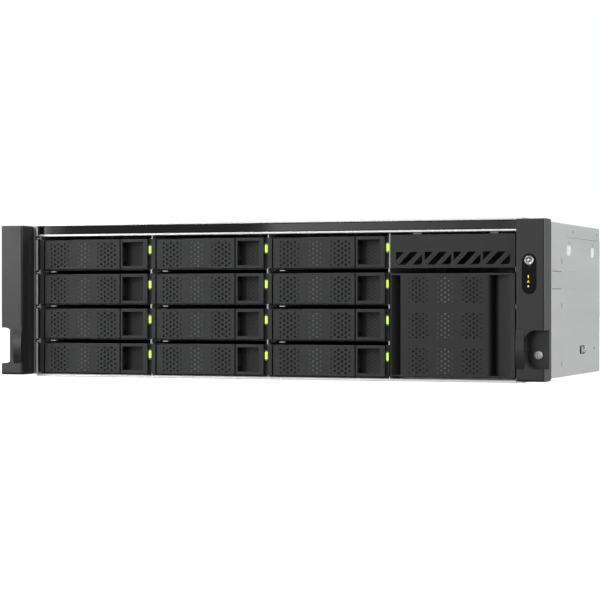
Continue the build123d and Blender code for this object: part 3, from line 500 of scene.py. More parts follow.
class SERVER_OT_studio(ServerOperator, bpy.types.Operator):
    """Camera, pale floor and backdrop, soft lights, and the cards that the gloss strip mirrors"""

    bl_idname = "server.studio"
    bl_label = "Studio"

    def execute(self, context):
        scene = context.scene
        scene.view_settings.view_transform = "Standard"
        eye = bpy.data.cameras.new("camera")
        eye.lens, eye.sensor_width, eye.shift_x = 120.9, 36, -0.0165
        eye.clip_start, eye.clip_end = 0.05, 100
        camera = bpy.data.objects.new("camera", eye)
        camera.location = (0.6173, -1.705, 0.0661)
        camera.rotation_euler = (radians(90), 0, radians(20.32))
        scene.collection.objects.link(camera)
        scene.camera = camera
        world = bpy.data.worlds.new("Pale surroundings")
        scene.world = world
        world.use_nodes = True
        self.surroundings(world.node_tree)
        self.lamp("key softbox", (-1.1, -1.5, 1.3), (-0.1, 0, 0.07), (1.2, 0.8), 12)
        self.lamp("side softbox", (1.9, 0.3, 0.7), (0.22, 0, 0.07), (1.6, 1.6), 26)
        self.lamp("rear softbox", (-0.6, 1.9, 1.2), (0, 0.15, 0.07), (2.2, 1.6), 9)
        self.floor()
        self.dome()
        self.card("bright card", (-0.733, -0.26), (2.2, 0.6), (1, 1))
        self.card("dim card", (-1.2, -0.733), (0.26, 0.34), (1, 1))
        self.card("left ear card", (-1.9, -1.2), (1, 1), (11.0, 0.0))
        self.card("right ear card", (-0.26, 0.25), (1, 1), (2.6, 0.0))
        return {"FINISHED"}

    def surroundings(self, tree):
        """Even light that grows from dim under the horizon to bright overhead."""
        place = add_node(tree, "ShaderNodeTexCoord").outputs["Generated"]
        split = add_node(tree, "ShaderNodeSeparateXYZ", {"Vector": place})
        span = {"Value": split.outputs["Z"], "From Min": -0.5, "From Max": 0.9, "To Min": 0.16, "To Max": 0.8}
        ramp = add_node(tree, "ShaderNodeMapRange", span)
        tree.nodes["Background"].inputs["Color"].default_value = (1, 1, 1, 1)
        tree.links.new(ramp.outputs["Result"], tree.nodes["Background"].inputs["Strength"])

    def glow(self, name, strength, base=0.0):
        """A flat paper-like material that gives off its own even white."""
        return new_finish(
            name, (base,) * 3, Roughness=0.9, Emission_Color=(1, 1, 1, 1), Emission_Strength=strength
        )[0]

    def sheet(self, name, points, faces, material, unseen_by):
        """A surface for the stage, which the listed kinds of ray pass through."""
        mesh = bpy.data.meshes.new(name)
        mesh.from_pydata(np.reshape(points, (-1, 3)).tolist(), [], np.array(faces).tolist())
        mesh.materials.append(material)
        obj = bpy.data.objects.new(name, mesh)
        for kind in unseen_by.split():
            setattr(obj, f"visible_{kind}", False)
        bpy.context.scene.collection.objects.link(obj)

    def dome(self):
        """The pale backdrop: a sphere of x = R cos a cos b, y = R sin a cos b, z = R sin b."""
        a = np.linspace(0, 2 * pi, 49)[None]
        b = np.linspace(-pi / 2, pi / 2, 25)[:, None]
        p = 14 * np.stack([np.cos(a) * np.cos(b), np.sin(a) * np.cos(b), np.sin(b) + 0 * a], -1)
        paper = self.glow("Pale backdrop", 1.0)
        self.sheet("backdrop", p, grid_faces(25, 49)[:, ::-1], paper, "diffuse glossy transmission shadow")

    def lamp(self, name, place, target, size, power):
        """A rectangular softbox that faces a target."""
        data = bpy.data.lights.new(name, "AREA")
        data.shape, data.size, data.size_y, data.energy = "RECTANGLE", size[0], size[1], power
        obj = bpy.data.objects.new(name, data)
        obj.location = place
        away = obj.location - type(obj.location)(target)
        obj.rotation_euler = away.to_track_quat("Z", "Y").to_euler()
        obj.visible_camera = False
        bpy.context.scene.collection.objects.link(obj)

    def floor(self):
        """A wide floor: a grid of x and y at z = 0, a little under the sheet."""
        ticks = np.linspace(-6, 6, 7)
        p = np.empty((7, 7, 3))
        p[..., 0], p[..., 1], p[..., 2] = ticks[None], ticks[:, None], -0.0004
        self.sheet("floor", p, grid_faces(7, 7), self.glow("Pale seamless paper", 0.9, 0.3), "diffuse glossy shadow")

    def card(self, name, reach, across, upward):
        """An upright card far in front; its glow is one ramp along it times another from its top to its foot."""
        x0, x1 = reach
        foot, top = -0.15, 0.36
        rim = [(x0, -2, foot), (x1, -2, foot), (x1, -2, top), (x0, -2, top)]
        material, tree, shader = new_finish(name, (0, 0, 0), Roughness=1.0, Emission_Color=(1, 1, 1, 1))
        place = add_node(tree, "ShaderNodeTexCoord").outputs["Object"]
        split = add_node(tree, "ShaderNodeSeparateXYZ", {"Vector": place})
        ramps = []
        for axis, start, end, values in (("X", x0, x1, across), ("Z", top, foot, upward)):
            ends = {"From Min": start, "From Max": end, "To Min": values[0], "To Max": values[1]}
            span = {"Value": split.outputs[axis], **ends}
            ramps.append(add_node(tree, "ShaderNodeMapRange", span).outputs["Result"])
        both = add_node(tree, "ShaderNodeMath", {0: ramps[0], 1: ramps[1]}, operation="MULTIPLY")
        tree.links.new(both.outputs[0], shader.inputs["Emission Strength"])
        self.sheet(name, rim, [(3, 2, 1, 0)], material, "camera diffuse shadow")


class SERVER_OT_finishes(ServerOperator, bpy.types.Operator):
    """Gives every carried-over piece the finish of its material slot"""

    bl_idname = "server.finishes"
    bl_label = "Finishes"

    def execute(self, context):
        for part in frame["record"]["subparts"]:
            node = frame["nodes"][part["node"]]
            node.data.materials.clear()
            key = "window" if part["node"] == "status_window" else part["material_slot"]
            node.data.materials.append(finish(key))
        return {"FINISHED"}


class SERVER_OT_levers(ServerOperator, bpy.types.Operator):
    """Perforated swing levers, one across each tray front"""

    bl_idname = "server.levers"
    bl_label = "Levers"

    def execute(self, context):
        sizes = self.sizes
        edge = sizes.edge
        fields = {0: (0.95, 1.1, 1.1, 1.1, 1.0, 0.7), 8: (0.5, 0.75, 0.75, 0.5), 14: (0.7, 1.0, 1.1, 1.1, 1.1, 0.95)}
        holes = lattice(fields, range(8, 12))
        low, high = corners("tray_lever_c1_r4")
        lever = Surface()
        top = high[2] - 1.25
        lever.box(low, (high[0], high[1], top), edge, open_front=True)
        lever.box((low[0] + 26.1, low[1] - 0.02, top - 2), high, edge)
        half = sizes.hole_rise / 2
        left = low[0] + sizes.hole_start - sizes.hole_pitch / 2
        start = (left, (low[2] + high[2]) / 2 - sizes.hole_drop - 6 * half)
        area = (low[0] + edge, high[0] - edge, low[2] + edge, top - edge)
        lever.perforate(area, low[1], start, (sizes.hole_pitch, half), (20, 12), holes, sizes.hole_depth)
        for c, r in BAYS:
            node = f"tray_lever_c{c}_r{r}"
            piece = Surface()
            piece.join(lever, corners(node)[0] - low)
            paints = "tray_plastic dark_hole light_hole"
            piece.piece(f"lever_c{c}_r{r}", f"lever_c{c}_r{r}", "tray_plastic", paints, [node])
        return {"FINISHED"}


class SERVER_OT_trays(ServerOperator, bpy.types.Operator):
    """Tray fronts with their finger recess, rails, lit guide and disk"""

    bl_idname = "server.trays"
    bl_label = "Trays"

    def execute(self, context):
        edge = self.sizes.edge
        low, high = corners("drive_tray_c1_r4")
        lever_low, lever_high = corners("tray_lever_c1_r4")
        x, z0, face = low[0], lever_low[2], lever_low[1]
        z1 = lever_high[2]
        back = lever_high[1] + 0.6
        body = Surface()
        body.box((x, face, z0), (x + 3.9, face + 1.4, z1), 0.4)
        body.box((x + 0.9, back, z0), (x + 78.5, back + 2, z1), 0.3)
        body.box((x + 102.3, back, z0), (high[0], back + 2, z1), 0.3)
        body.box((x + 0.9, face + 0.1, z0 + 0.3), (x + 2.4, back + 1, z1 - 0.3), 0.2)
        right0, right1 = x + 77.7, x + 103.1
        area = (right0 + edge, right1 - edge, z0 + edge, z1 - edge)
        body.box((right0, face, z0), (right1, face + 10, z1), edge, open_front=True)
        mouth = (x + 79.2, x + 99.0, z0 + 2.5, z1 - 2.5)
        # The pocket floor takes the darker recess finish: painted shade.
        body.pocket(area, mouth, face, 0.35, (8.2, 3.4), 0, 2)
        # Near-black pads at the recess's left corners: painted shade for two deep notches.
        for z in (mouth[2] + 0.3, mouth[3] - 4.7):
            body.box((mouth[0] - 0.6, face + 0.5, z), (mouth[0] + 0.45, face + 8.4, z + 4.4), 0.1, 1)
        self.ribs(body, x, mouth, face)
        rail_low, rail_high = low[2], z0 + 18
        body.box((x + 0.9, back, rail_low), (x + 2.5, high[1], rail_high), 0.3)
        body.box((x + 104.3, back + 8, rail_low), (high[0], high[1], rail_high), 0.3)
        body.box((x + 2.3, back, rail_low), (x + 104.4, high[1], rail_low + 1), 0.2)
        lamp = Surface()
        glass0, glass1 = x + 104.15, x + 106.0
        lit0, lit1 = z0 + self.sizes.lamp_low, z0 + self.sizes.lamp_high
        lamp.box((glass0, face + 0.6, lit0), (glass1, face + 34, lit1), 0.25, 0)
        lamp.box((glass0, face + 0.8, lit0 - 1.4), (glass1, face + 30, lit0 - 0.05), 0.25, 1)
        lamp.box((glass0, face + 0.8, lit1 + 0.05), (glass1, face + 30, lit1 + 1.2), 0.25, 1)
        disk = Surface()
        d0, d1 = back + 8.4, high[1] - 0.2
        base = rail_low + 1.05
        left, right = x + 2.6, x + 104.1
        disk.box((left, d0, base), (right, d1, base + 20.5), 0.8, 0)
        disk.box((left + 2, d0 + 2, base + 20.5), (right - 2, d1 - 2, base + 22.6), 0.9, 0)
        disk.box((left + 20, d0 + 30, base + 22.5), (right - 20, d1 - 30, base + 23.4), 0.4, 0)
        disk.box((left + 8, d1 - 1, base + 2), (left + 44, d1 - 0.1, base + 8), 0.2, 1)
        whole = [
            ("tray", body, "tray_plastic shade recess_plastic"),
            ("lamp", lamp, "lamp lamp_tip"),
            ("disk", disk, "disk_case circuit_board"),
        ]
        for c, r in BAYS:
            node = f"drive_tray_c{c}_r{r}"
            shift = corners(node)[0] - low
            for name, part, finishes in whole:
                moved = Surface()
                moved.join(part, shift)
                moved.piece(f"{name}_c{c}_r{r}", f"tray_c{c}_r{r}", "tray_plastic", finishes, [node])
        return {"FINISHED"}

    def ribs(self, body, x, mouth, face):
        """Small raised dots on the recess floor, which slants from deep at the left to shallow at the right; they
        are near-black, painted shade for holes in the floor.
        """
        across = np.arange(6) * 2.6 + x + 84.6
        up = np.linspace(mouth[2] + 2.2, mouth[3] - 2.2, 6)
        slope = (3.4 - 8.2) / (mouth[1] - mouth[0])
        dots = [(px, pz) for k, px in enumerate(across) for pz in up[: 6 - k % 2] + (k % 2) * (up[1] - up[0]) / 2]
        px, pz = np.array(dots).T[..., None, None]
        turn = np.linspace(0, 2 * pi, 8, endpoint=False)[None, None]
        stand = np.array([-0.05, 0.15])[None, :, None]
        p = np.empty((len(dots), 2, 8, 3))
        p[..., 0] = px + 0.75 * np.cos(turn)
        p[..., 1] = face + 8.2 + slope * (p[..., 0] - mouth[0]) + stand
        p[..., 2] = pz + 0.55 * np.sin(turn)
        k, after = np.arange(8), (np.arange(8) + 1) % 8
        jump = 16 * np.arange(len(dots))[:, None, None]
        sides = np.stack([8 + k, 8 + after, after, k], -1)[None] + jump
        body.add(p, sides.reshape(-1, 4), 1)
        caps = np.stack([k, 8 + k[::-1]])[None] + jump
        body.add(p, caps.reshape(-1, 8), 1)


class SERVER_OT_bay_cover(ServerOperator, bpy.types.Operator):
    """Pull-off cover with pierced panel and a scoop at each side"""

    bl_idname = "server.bay_cover"
    bl_label = "Bay cover"

    def execute(self, context):
        sizes = self.sizes
        edge = sizes.edge
        low, high = corners("bay_cover")
        face = low[1]
        z0, z1 = low[2] + 1.5, high[2] - 1.5
        panel0, panel1 = low[0] + 8.85, high[0] - 19.6
        bend = 3.36
        cover = Surface()
        cover.box(low, high, edge, open_front=True)
        scoop0, scoop1 = low[0] + 1.0, high[0] - 0.8
        arc = np.linspace(0, pi / 2, 7)
        left = [(scoop0, 0), (panel0, 10), (panel0, 0)]
        right = [(panel1 - bend + bend * sin(t), bend - bend * cos(t)) for t in arc]
        hollow = [(0, 13.5), (3.8, 13.5), (3.9, 6.2), (6.5, 5.2), (9.5, 3.9), (13, 2.2), (16, 0.9)]
        right += [(panel1 + out, deep) for out, deep in hollow] + [(scoop1, 0)]
        for profile in (left, right):
            p = np.empty((2, len(profile), 3))
            p[..., 0], p[..., 1] = np.array(profile)[:, 0], face + np.array(profile)[:, 1]
            p[..., 2] = np.array([z0, z1])[:, None]
            cover.add(p, grid_faces(2, len(profile)))
            for end, order in ((z0, -1), (z1, 1)):
                cover.polygon([(px, face + py, end) for px, py in profile[::order]])
        rows = sizes.cover_rise / 2
        start = (low[0] + 14.85, low[2] + 1.6)
        row = (0.6, 0.85, 0.95, 0.95, 0.85, 0.65)
        fields = {0: row, 8: (0.45, 0.7, 0.8, 0.7, 0.45), 15: row[::-1]}
        holes = lattice(fields, range(8, 13), (0, 15, 30))
        area = (panel0, panel1 - bend, z0, z1)
        cover.perforate(area, face, start, (sizes.cover_pitch, rows), (21, 42), holes, sizes.hole_depth)
        (x0, _, foot), (x1, _, top) = low + edge, high - edge
        inner = [scoop0, panel0, panel1 - bend, scoop1]
        for border in (
            [(x0, foot), (x1, foot)] + [(x, z0) for x in inner[::-1]],
            [(x1, top), (x0, top)] + [(x, z1) for x in inner],
            [(x0, top), (x0, foot), (scoop0, z0), (scoop0, z1)],
            [(x1, foot), (x1, top), (scoop1, z1), (scoop1, z0)],
        ):
            cover.polygon([(x, face, z) for x, z in border])
        paints = "cover_plastic dark_hole light_hole"
        cover.piece("pull_off_cover", "bay_cover", "cover_plastic", paints, ["bay_cover"])
        return {"FINISHED"}


class SERVER_OT_status(ServerOperator, bpy.types.Operator):
    """Domed power button and the three lit legends in the status window"""

    bl_idname = "server.status"
    bl_label = "Status panel"

    def execute(self, context):
        low, high = corners("power_button")
        glass = corners("status_window")[0][1]
        x, z = centre("status_window")[0], centre("power_button")[2]
        radius = 3.9
        button = Surface()
        front, seat = low[1], high[1] - 1.0 - low[1]
        dome = [(0, 0.25), (0.7, 0.3), (1.2, 0.55), (1.5, 0.6), (1.9, 0.4), (2.4, 0.12), (2.9, 0.02), (3.3, 0)]
        dome += [(3.6, 0.1), (3.82, 0.35), (radius, 0.7), (radius, seat)]
        dome += [(radius + 1.1, seat), (radius + 1.1, seat + 1), (0, seat + 1)]
        button.turned(dome, (x, front, z))
        button.piece("button", "power_button", "button_metal", "button_metal", ["power_button"], 30)
        marks = Surface()
        marks.box((x - 1.2, glass - 0.08, 83.4), (x - 0.4, glass + 0.2, 85.7), 0.2, 0)
        turn = np.radians([90, 210, 330])
        tri = np.stack([x - 0.8 + 1.25 * np.cos(turn), np.full(3, glass - 0.05), 80.5 + 1.25 * np.sin(turn)], -1)
        wedge = np.concatenate([tri, tri + (0, 0.2, 0)])
        marks.add(wedge, [[0, 1, 2]], 1)
        marks.add(wedge, [[0, 3, 4, 1], [1, 4, 5, 2], [2, 5, 3, 0]], 1)
        marks.add(wedge, [[5, 4, 3]], 1)
        marks.turned([(0, -0.06), (0.65, -0.04), (0.7, 0.15), (0, 0.15)], (x - 0.8, glass, 76.9), 2, 20)
        paints = "icon_green icon_orange icon_blue"
        marks.piece("status_legends", "chassis", "gloss_black", paints)
        return {"FINISHED"}


class SERVER_OT_screws(ServerOperator, bpy.types.Operator):
    """Cross-recess rack screws and knurled thumbscrews"""

    bl_idname = "server.screws"
    bl_label = "Screws"

    def execute(self, context):
        count = self.sizes.knurls
        for side in ("left", "right"):
            node = f"{side}_rack_screw"
            low, high = corners(node)
            x, _, z = centre(node)
            size, thread, head = high[1] - low[1], 12, 2.8
            screw = Surface()
            self.head(screw, (x, low[1], z), 3.4, head)
            turns = np.linspace(size - thread, size - 0.6, 24)
            shank = [(3.4, head), (2.5, head), (2.5, size - thread)]
            shank += [(2.9 if k % 2 else 2.45, depth) for k, depth in enumerate(turns)]
            shank += [(2.0, size), (0, size)]
            screw.turned(shank, (x, low[1], z), steps=96)
            screw.piece(f"{side}_rack_bolt", node, "screw_steel", "screw_steel shade", [node])
            node = f"{side}_lid_thumbscrew"
            low, high = corners(node)
            x, _, z = centre(node)
            knob, size = Surface(), high[1] - low[1]

            def knurl(turn, depth):
                ridge = 0.025 * np.abs(np.sin(turn * count / 2))
                return 1 + np.where((depth > size - 6.6) & (depth < size - 1.0), ridge, 0)

            profile = [(0, 0), (1.6, 0), (2, 0.5), (2, size - 7.5), (4.6, size - 7.5), (5.3, size - 7.0)]
            profile += [(5.3, d) for d in np.linspace(size - 6.5, size - 1.1, 8)]
            profile += [(5.3, size - 0.7), (4.9, size), (0, size)]
            knob.turned(profile, (x, low[1], z), steps=count * 4, ripple=knurl)
            knob.piece(f"{side}_thumb_knob", f"{side}_thumbscrew", "knurled_steel", "knurled_steel", [node], 30)
        return {"FINISHED"}

    def head(self, screw, place, radius, height):
        """Pan head: a disc whose depth is its dome plus a cross-shaped pit, walked in rings and turns."""
        ring = np.linspace(0, 1, 26)[:, None]
        turn = np.linspace(0, 2 * pi, 97)[None]
        x, z = ring * radius * np.cos(turn), ring * radius * np.sin(turn)
        dome = 1.6 * (1 - np.sqrt(np.clip(1 - 0.72 * ring**4, 0, 1))) + 0 * turn
        arms = [np.maximum(np.abs(u) - 0.55, np.abs(v) - 2.1) for u, v in ((x, z), (z, x))]
        pit = 1.5 * np.clip(0.5 - np.minimum(*arms) / 0.3, 0, 1)
        p = np.stack([x, dome + pit, z], -1) + place
        screw.add(p, grid_faces(26, 97))
        edge = np.stack([p[-1], p[-1]])
        edge[1, :, 1] = place[1] + height
        screw.add(edge, grid_faces(2, 97))


class SERVER_OT_trim_details(ServerOperator, bpy.types.Operator):
    """Small fixed pieces: bright edges, gap clips, snap tabs, grip ribs, and the side walls' plates and marks"""

    bl_idname = "server.trim_details"
    bl_label = "Trim details"

    def execute(self, context):
        self.edges()
        fixed = {"clips": Surface(), "tabs": Surface(), "ribs": Surface(), "plates": Surface()}
        # The row-gap clips stand for the divider edges, paler than the steel as painted light.
        for c, r in BAYS:
            if r < ROWS:
                x, _, z = corners(f"tray_lever_c{c}_r{r}")[0]
                fixed["clips"].box((x + 5.6, -137.8, z - 2.2), (x + 10.1, -134, z - 1.5), 0.15)
        (x0, y, _), (x1, _, top) = corners("vent_bezel")
        for x in (x0 + 22.9, x1 - 17.3):
            fixed["tabs"].box((x - 3.6, y + 0.6, top - 1.75), (x + 3.6, y + 5, top - 0.1), 0.6)
        x, y, _ = corners("right_ear_cover")[0]
        for z in (18.5, 26.8, 35.0):
            fixed["ribs"].box((x + 6.6, y + 3.5, z - 0.5), (x + 8.2, y + 14, z + 0.5), 0.3)
        # Plates behind the side slots, paler than the steel as painted light.
        for way in (-1, 1):
            x0, x1 = sorted((way * 217.5, way * 218.7))
            for y0, y1 in ((15.1, 32.2), (111.0, 125.9)):
                fixed["plates"].box((x0, y0 + 0.15, 104.6), (x1, y1 - 0.15, 113.8), 0.15)
        fixed["clips"].piece("gap_clips", "chassis", "plated_steel", "latch_plate")
        fixed["tabs"].piece("bezel_snap_tabs", "chassis", "cover_plastic", "snap_tab")
        fixed["ribs"].piece("grip_ribs", "chassis", "ear_plastic", "ear_plastic")
        fixed["plates"].piece("latch_plates", "chassis", "plated_steel", "latch_plate")
        self.marks()
        return {"FINISHED"}

    def edges(self):
        """The hems and header line, brightened as painted highlight, and the broken strip, paled as painted light,
        on a dark band of painted shade beside the left column.
        """
        strips = Surface()
        wall = corners("ear_brackets")[0][0] + 22.6
        front = corners("left_ear_cover")[1][1] - 1.1
        # The dark band is a near-black sheet of painted shade standing for the shadow gap.
        strips.box((wall - 0.7, front + 0.3, 3), (wall + 3.6, front + 1.0, 129.8), 0.2, 1)
        for r in range(ROWS):
            low, high = corners(f"tray_lever_c1_r{r + 1}")
            foot, top, hook = low[2] - 0.6, high[2] + 0.2, high[2] + 0.9
            strips.box((wall + 0.3, front - 0.4, foot), (wall + 1.9, front + 0.5, top), 0.25, 2)
            strips.box((wall + 1.0, front - 0.7, hook), (wall + 3.4, front + 0.5, hook + 1.2), 0.3, 2)
        foot = corners("tray_lever_c1_r1")[1][2] + 3.4
        strips.box((wall + 0.3, front - 0.4, foot), (wall + 1.9, front + 0.5, 129.5), 0.25, 2)
        strips.box((-213.8, -138.8, 121.5), (217.3, -138.25, 122.9), 0.2)
        low, high = corners("bay_cover")
        x = low[0] - 0.9
        # A thin near-black strip of painted shade over the divider edge at the bay cover's left.
        strips.box((x - 0.6, front - 0.6, low[2]), (x + 0.6, front + 0.35, high[2] + 0.5), 0.1, 1)
        for foot, top in ((0.05, 1.15), (130.5, 131.95)):
            strips.box((-217.5, -138.3, foot), (217.5, -137.4, top), 0.2)
        strips.piece("wall_edge_strip", "chassis", "plated_steel", "pale_edge shade latch_plate")

    def marks(self):
        """On each side wall: two formed grooves as grey bars of painted shade, a lanced tab over its slot of
        near-black painted shade, and small dimples darkened as painted shade.
        """
        marks = Surface()
        face, dimple = 219.04, 1.3
        for way in (-1, 1):
            spans = (218.9, face), (218.9, 220.9), (220.0, 220.9)
            skin, proud, bridge = (sorted((way * a, way * b)) for a, b in spans)
            for z in (90.4, 75.5):
                marks.box((skin[0], -131, z - 0.28), (skin[1], -8, z + 0.28), 0.05)
            marks.box((skin[0], 65.5, 18), (skin[1], 83.5, 25.4), 0.05, 1)
            for y in (66.5, 77.5):
                marks.box((proud[0], y, 18.8), (proud[1], y + 3.8, 24.6), 0.6, 2)
            marks.box((bridge[0], 67, 19.4), (bridge[1], 81, 21.6), 0.4, 2)
            for y, z, paint in ((123.5, 22, 1), (36.0, 126, 0), (134.5, 126, 0)):
                marks.turned(disc(dimple, -0.3 * way), (way * 219.05, y, z), paint, 16, axis=0)
        marks.piece("side_wall_marks", "chassis", "plated_steel", "seam shade plated_steel")


class SERVER_OT_side_heads(ServerOperator, bpy.types.Operator):
    """Flush screw heads with a socket, through each side wall"""

    bl_idname = "server.side_heads"
    bl_label = "Side screws"

    def execute(self, context):
        heads = Surface()
        y = centre("side_screws")[1]
        rim = [(0, 0.5), (0.75, 0.5), (0.95, 0.05), (1.5, 0), (2.0, 0.05), (2.2, 0.3), (2.2, 0.6), (0, 0.6)]
        socket = [(0, 0.55), (0.9, 0.5), (0.9, 0.59), (0, 0.59)]
        for side in (-1, 1):
            for z in (99.7, 61.4, 11.1):
                # A near-black disc of painted shade round each head, and the socket floor in painted shade.
                heads.turned(disc(2.35, -0.12 * side), (side * 219.06, y, z), 1, 20, axis=0)
                for profile, paint, steps in ((rim, 0, 24), (socket, 1, 12)):
                    inward = [(radius, -side * depth) for radius, depth in profile]
                    heads.turned(inward, (side * 219.15, y, z), paint, steps, axis=0)
        heads.piece("side_screw_heads", "chassis", "screw_steel", "screw_steel shade", ["side_screws"])
        return {"FINISHED"}


class SERVER_OT_fans(ServerOperator, bpy.types.Operator):
    """Rotors with swept blades, and round-wire guards"""

    bl_idname = "server.fans"
    bl_label = "Fans"

    def execute(self, context):
        guards = Surface()
        y = centre("fan_guards")[1]
        eye = [(0, 1.1), (0.9, 1.1), (1.1, 2.0), (2.4, 1.7), (3.1, 0.9), (3.3, -0.4), (0, -0.4)]
        for number in (1, 2, 3):
            node = f"fan_rotor_{number}"
            low, high = corners(node)
            x, _, z = centre(node)
            rotor = Surface()
            start, end, shaft = low[1] + 1.2, high[1] - 2.2, high[1]
            hub = [(0, start), (13, start), (15.5, start + 0.6), (16.7, start + 1.8), (17, start + 3.2), (17, end)]
            hub += [(15.4, end), (15.2, start + 4), (2.2, start + 3.2), (2, start + 3.2), (2, shaft), (0, shaft)]
            rotor.turned(hub, (x, 0, z), steps=56)
            for blade in range(7):
                self.blade(rotor, blade * 2 * pi / 7, x, z, start + 1.2, end - 0.5)
            rotor.piece(f"rotor_{number}", node, "fan_plastic", "fan_plastic", [node])
            for radius in (9.2, 17.2, 25.2, 33.2, 38.8):
                self.wire(guards, radius, x, y, z)
            for turn in np.arange(1, 8, 2) * pi / 4:
                self.spoke(guards, turn, x, y - 0.1, z)
                away = 35.7 * np.sign([cos(turn), sin(turn)])
                guards.turned(eye, (x + away[0], y, z + away[1]), 1, 24)
        guards.piece("fan_wire_guards", "chassis", "guard_wire", "guard_wire screw_steel", ["fan_guards"])
        return {"FINISHED"}

    def blade(self, rotor, angle, x, z, y0, y1):
        """Blade: rows run from hub to tip; round each row the chord sweeps as depth falls, with a sine bow."""
        u = np.linspace(0, 1, 9)[:, None]
        v = np.linspace(0, 1, 9)[None]
        loop = np.concatenate([v, v[:, ::-1]], 1)
        side = np.repeat([-1.0, 1.0], 9)[None]
        radius = 16.6 + 20.0 * u
        turn = angle + (loop - 0.5) * 0.62 * (1 - 0.18 * u) + 0.22 * u**1.5
        y = y0 + (y1 - y0) * (1 - loop) + 1.4 * np.sin(pi * loop) + 0.55 * side
        y = np.clip(y, y0 - 0.5, y1 + 0.4)
        p = np.stack([x + radius * np.cos(turn), y + 0 * radius, z + radius * np.sin(turn)], -1)
        rotor.tube(np.concatenate([p, p[:, :1]], 1))

    def wire(self, guards, radius, x, y, z):
        """Ring of round wire: a torus, radius plus tube cosine outwards, tube sine in depth."""
        a = np.linspace(0, 2 * pi, 65)[:, None]
        b = np.linspace(0, 2 * pi, 9)[None]
        r = radius + 0.78 * np.cos(b)
        p = np.stack([x + r * np.cos(a), y + 0.78 * np.sin(b) + 0 * a, z + r * np.sin(a)], -1)
        guards.shell(p, grid_faces(65, 9))

    def spoke(self, guards, turn, x, y, z):
        """Straight wire from the smallest ring to a screw eye at the fan's corner."""
        t = np.array([8.8, 50.0])[:, None]
        b = np.linspace(0, 2 * pi, 9)[None]
        px = t * cos(turn) - 0.7 * np.cos(b) * sin(turn)
        pz = t * sin(turn) + 0.7 * np.cos(b) * cos(turn)
        guards.tube(np.stack([x + px, y + 0.7 * np.sin(b) + 0 * t, z + pz], -1))


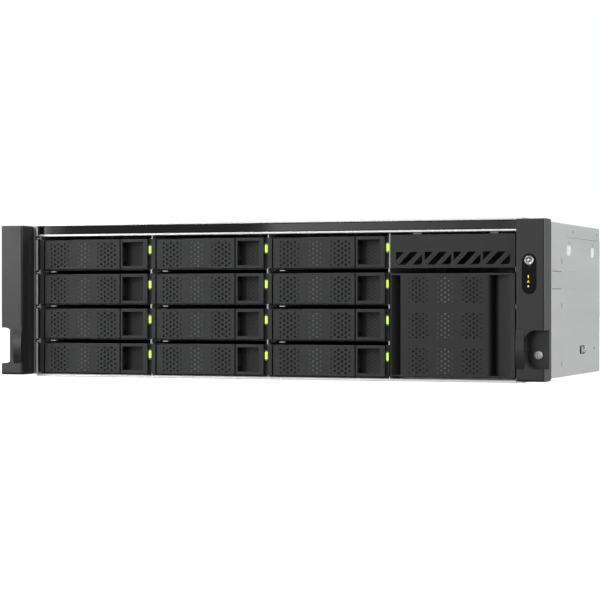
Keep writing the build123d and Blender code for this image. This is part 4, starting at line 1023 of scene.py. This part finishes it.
class SERVER_OT_supplies(ServerOperator, bpy.types.Operator):
    """Pierced supply faces, mains inlets with their pins, round-edged handles, and the sockets' mouths"""

    bl_idname = "server.supplies"
    bl_label = "Power supplies and sockets"

    def execute(self, context):
        for number in (1, 2):
            self.face(number)
            self.handle(number)
        sockets = Surface()
        _, _, foot = corners("io_connectors")[0]
        y = corners("io_connectors")[1][1]
        for x, half, height, rows in ((-190.0, 6.25, 6.0, 1), (-166.0, 5.6, 15.6, 2), (-146.0, 5.6, 15.6, 2)):
            step = height / rows
            for row in range(rows):
                z0, z1 = foot + row * step + 1.0, foot + (row + 1) * step - 1.0
                z = (z0 + z1) / 2
                # Each mouth is a near-black box of painted shade; the tongue sits in it.
                sockets.box((x - half, y - 0.3, z0), (x + half, y + 0.05, z1), 0.1)
                sockets.box((x - half + 0.8, y - 0.3, z + 0.2), (x + half - 0.8, y + 0.12, z + 1.6), 0.1, 1)
        sockets.piece("socket_mouths", "chassis", "socket_metal", "shade socket_tongue")
        return {"FINISHED"}

    def face(self, number):
        """Inlet and grille, built facing forwards at mirrored x and then given half a turn to the rear."""
        node = f"power_supply_{number}"
        low, high = corners(node)
        face = corners("rear_panel")[1][1] + 1.0
        work = Surface()
        a, b = np.array([(-low[0] - 30, -face - 0.6, low[2] + 11.5), (-low[0] - 6, 14.6 - face, low[2] + 28.5)])
        work.box(a, b, 0.8, open_front=True)
        area = (a[0] + 0.8, b[0] - 0.8, a[2] + 0.8, b[2] - 0.8)
        # The inlet pocket's floor is painted shade.
        work.pocket(area, (a[0] + 2, b[0] - 2, a[2] + 2, b[2] - 2), a[1], 0.4, (13, 13), 0, 1)
        x, _, z = (a + b) / 2
        for px, pz in ((x - 5.5, z - 1.5), (x, z + 2.2), (x + 5.5, z - 1.5)):
            work.box((px - 1, a[1] + 2.5, pz - 2), (px + 1, a[1] + 13.2, pz + 2), 0.4, 2)
        x0, x1 = 2.5 - high[0], -low[0] - 36.0
        foot, top = low[2] + 3.0, high[2] - 12.5
        pitch, rise, rim = 3.4, 2.1, 0.3
        work.box((x0, -face - 0.7, foot), (x1, 0.3 - face, top), rim, 3, open_front=True)
        cells = (int((x1 - x0 - 1.4) / pitch), 2 * int((top - foot - 1.4) / (2 * rise)))
        start = (x0 + (x1 - x0 - pitch * cells[0]) / 2, foot + (top - foot - rise * cells[1]) / 2)
        # The grille's hole floors are painted shade.
        holes = [(c, c % 2 + 2 * k, 1.25, 1) for c in range(cells[0]) for k in range((cells[1] - c % 2) // 2)]
        area = (x0 + rim, x1 - rim, foot + rim, top - rim)
        work.perforate(area, -face - 0.7, start, (pitch, rise), cells, holes, 0.6, 3)
        work.points = [points * (-1, -1, 1) for points in work.points]
        work.piece(f"supply_face_{number}", node, "supply_case", "handle_black shade gold_pin supply_case")

    def handle(self, number):
        """Bail: a round-cornered bar carried along the path down one arm, across and up the other."""
        node = f"supply_handle_{number}"
        low, high = corners(node)
        bail = Surface()
        pivot, out = low[1] + 2.2, high[1] - 2.3
        x0, x1 = low[0] + 4.0, high[0] - 4.0
        z0, z1 = low[2] + 2.4, high[2] - 2.2
        path = [(x0, pivot, z1), (x0, pivot, z0 + 3), (x0, pivot + 1.2, z0 + 0.8), (x0, pivot + 3.2, z0)]
        path += [(x0, out - 2.4, z0), (x0 + 0.8, out - 0.7, z0), (x0 + 2.4, out, z0)]
        path = np.array(path)
        path = np.concatenate([path, path[::-1] * (-1, 1, 1) + (x0 + x1, 0, 0)])

        def unit(rows):
            return rows / np.linalg.norm(rows, axis=1, keepdims=True)

        along = unit(np.gradient(path, axis=0))
        up = np.where(np.abs(along[:, :1]) > 0.4, np.array([[0, 0, 1.0]]), np.array([[1.0, 0, 0]]))
        across = unit(np.cross(along, up))
        up = np.cross(across, along)
        turn = np.linspace(0, 2 * pi, 17)
        u, v = (2.0 * np.sign(w) * np.abs(w) ** 0.6 for w in (np.cos(turn), np.sin(turn)))
        bail.tube(path[:, None] + across[:, None] * u[None, :, None] + up[:, None] * v[None, :, None])
        boss = [(0, -2.3), (2.1, -2.3), (2.2, -2.0), (2.2, 2.0), (2.1, 2.3), (0, 2.3)]
        for x, side in ((x0, -1), (x1, 1)):
            bail.turned(boss, (x, pivot, z1), steps=24, axis=0)
            bail.turned(disc(1.15, 3.6 * side), (x, pivot, z1), steps=16, axis=0)
        bail.piece(f"bail_{number}", node, "handle_black", "handle_black", [node])


class SERVER_PT_panel(bpy.types.Panel):
    """Sidebar list of the server's steps"""

    bl_label = "Rack Storage Server"
    bl_idname = "SERVER_PT_panel"
    bl_space_type = "VIEW_3D"
    bl_region_type = "UI"
    bl_category = "Server"

    def draw(self, context):
        for name in STEPS:
            self.layout.operator(f"server.{name}")
        for group in (context.scene.server_sizes, context.scene.server_colours):
            for name in group.__annotations__:
                self.layout.prop(group, name)


STEPS = ["studio", "finishes", "levers", "trays", "bay_cover", "status", "screws"]
STEPS += ["trim_details", "side_heads", "fans", "supplies"]
CLASSES = [
    ServerSizes,
    ServerColours,
    SERVER_OT_studio,
    SERVER_OT_finishes,
    SERVER_OT_levers,
    SERVER_OT_trays,
    SERVER_OT_bay_cover,
    SERVER_OT_status,
    SERVER_OT_screws,
    SERVER_OT_trim_details,
    SERVER_OT_side_heads,
    SERVER_OT_fans,
    SERVER_OT_supplies,
    SERVER_PT_panel,
]


def register():
    for cls in CLASSES:
        bpy.utils.register_class(cls)
    bpy.types.Scene.server_sizes = PointerProperty(type=ServerSizes)
    bpy.types.Scene.server_colours = PointerProperty(type=ServerColours)


def unregister():
    del bpy.types.Scene.server_sizes, bpy.types.Scene.server_colours
    for cls in reversed(CLASSES):
        bpy.utils.unregister_class(cls)


def main():
    """Registers the classes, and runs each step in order."""
    register()
    for name in STEPS:
        getattr(bpy.ops.server, name)()


if __name__ == "__main__":
    main()
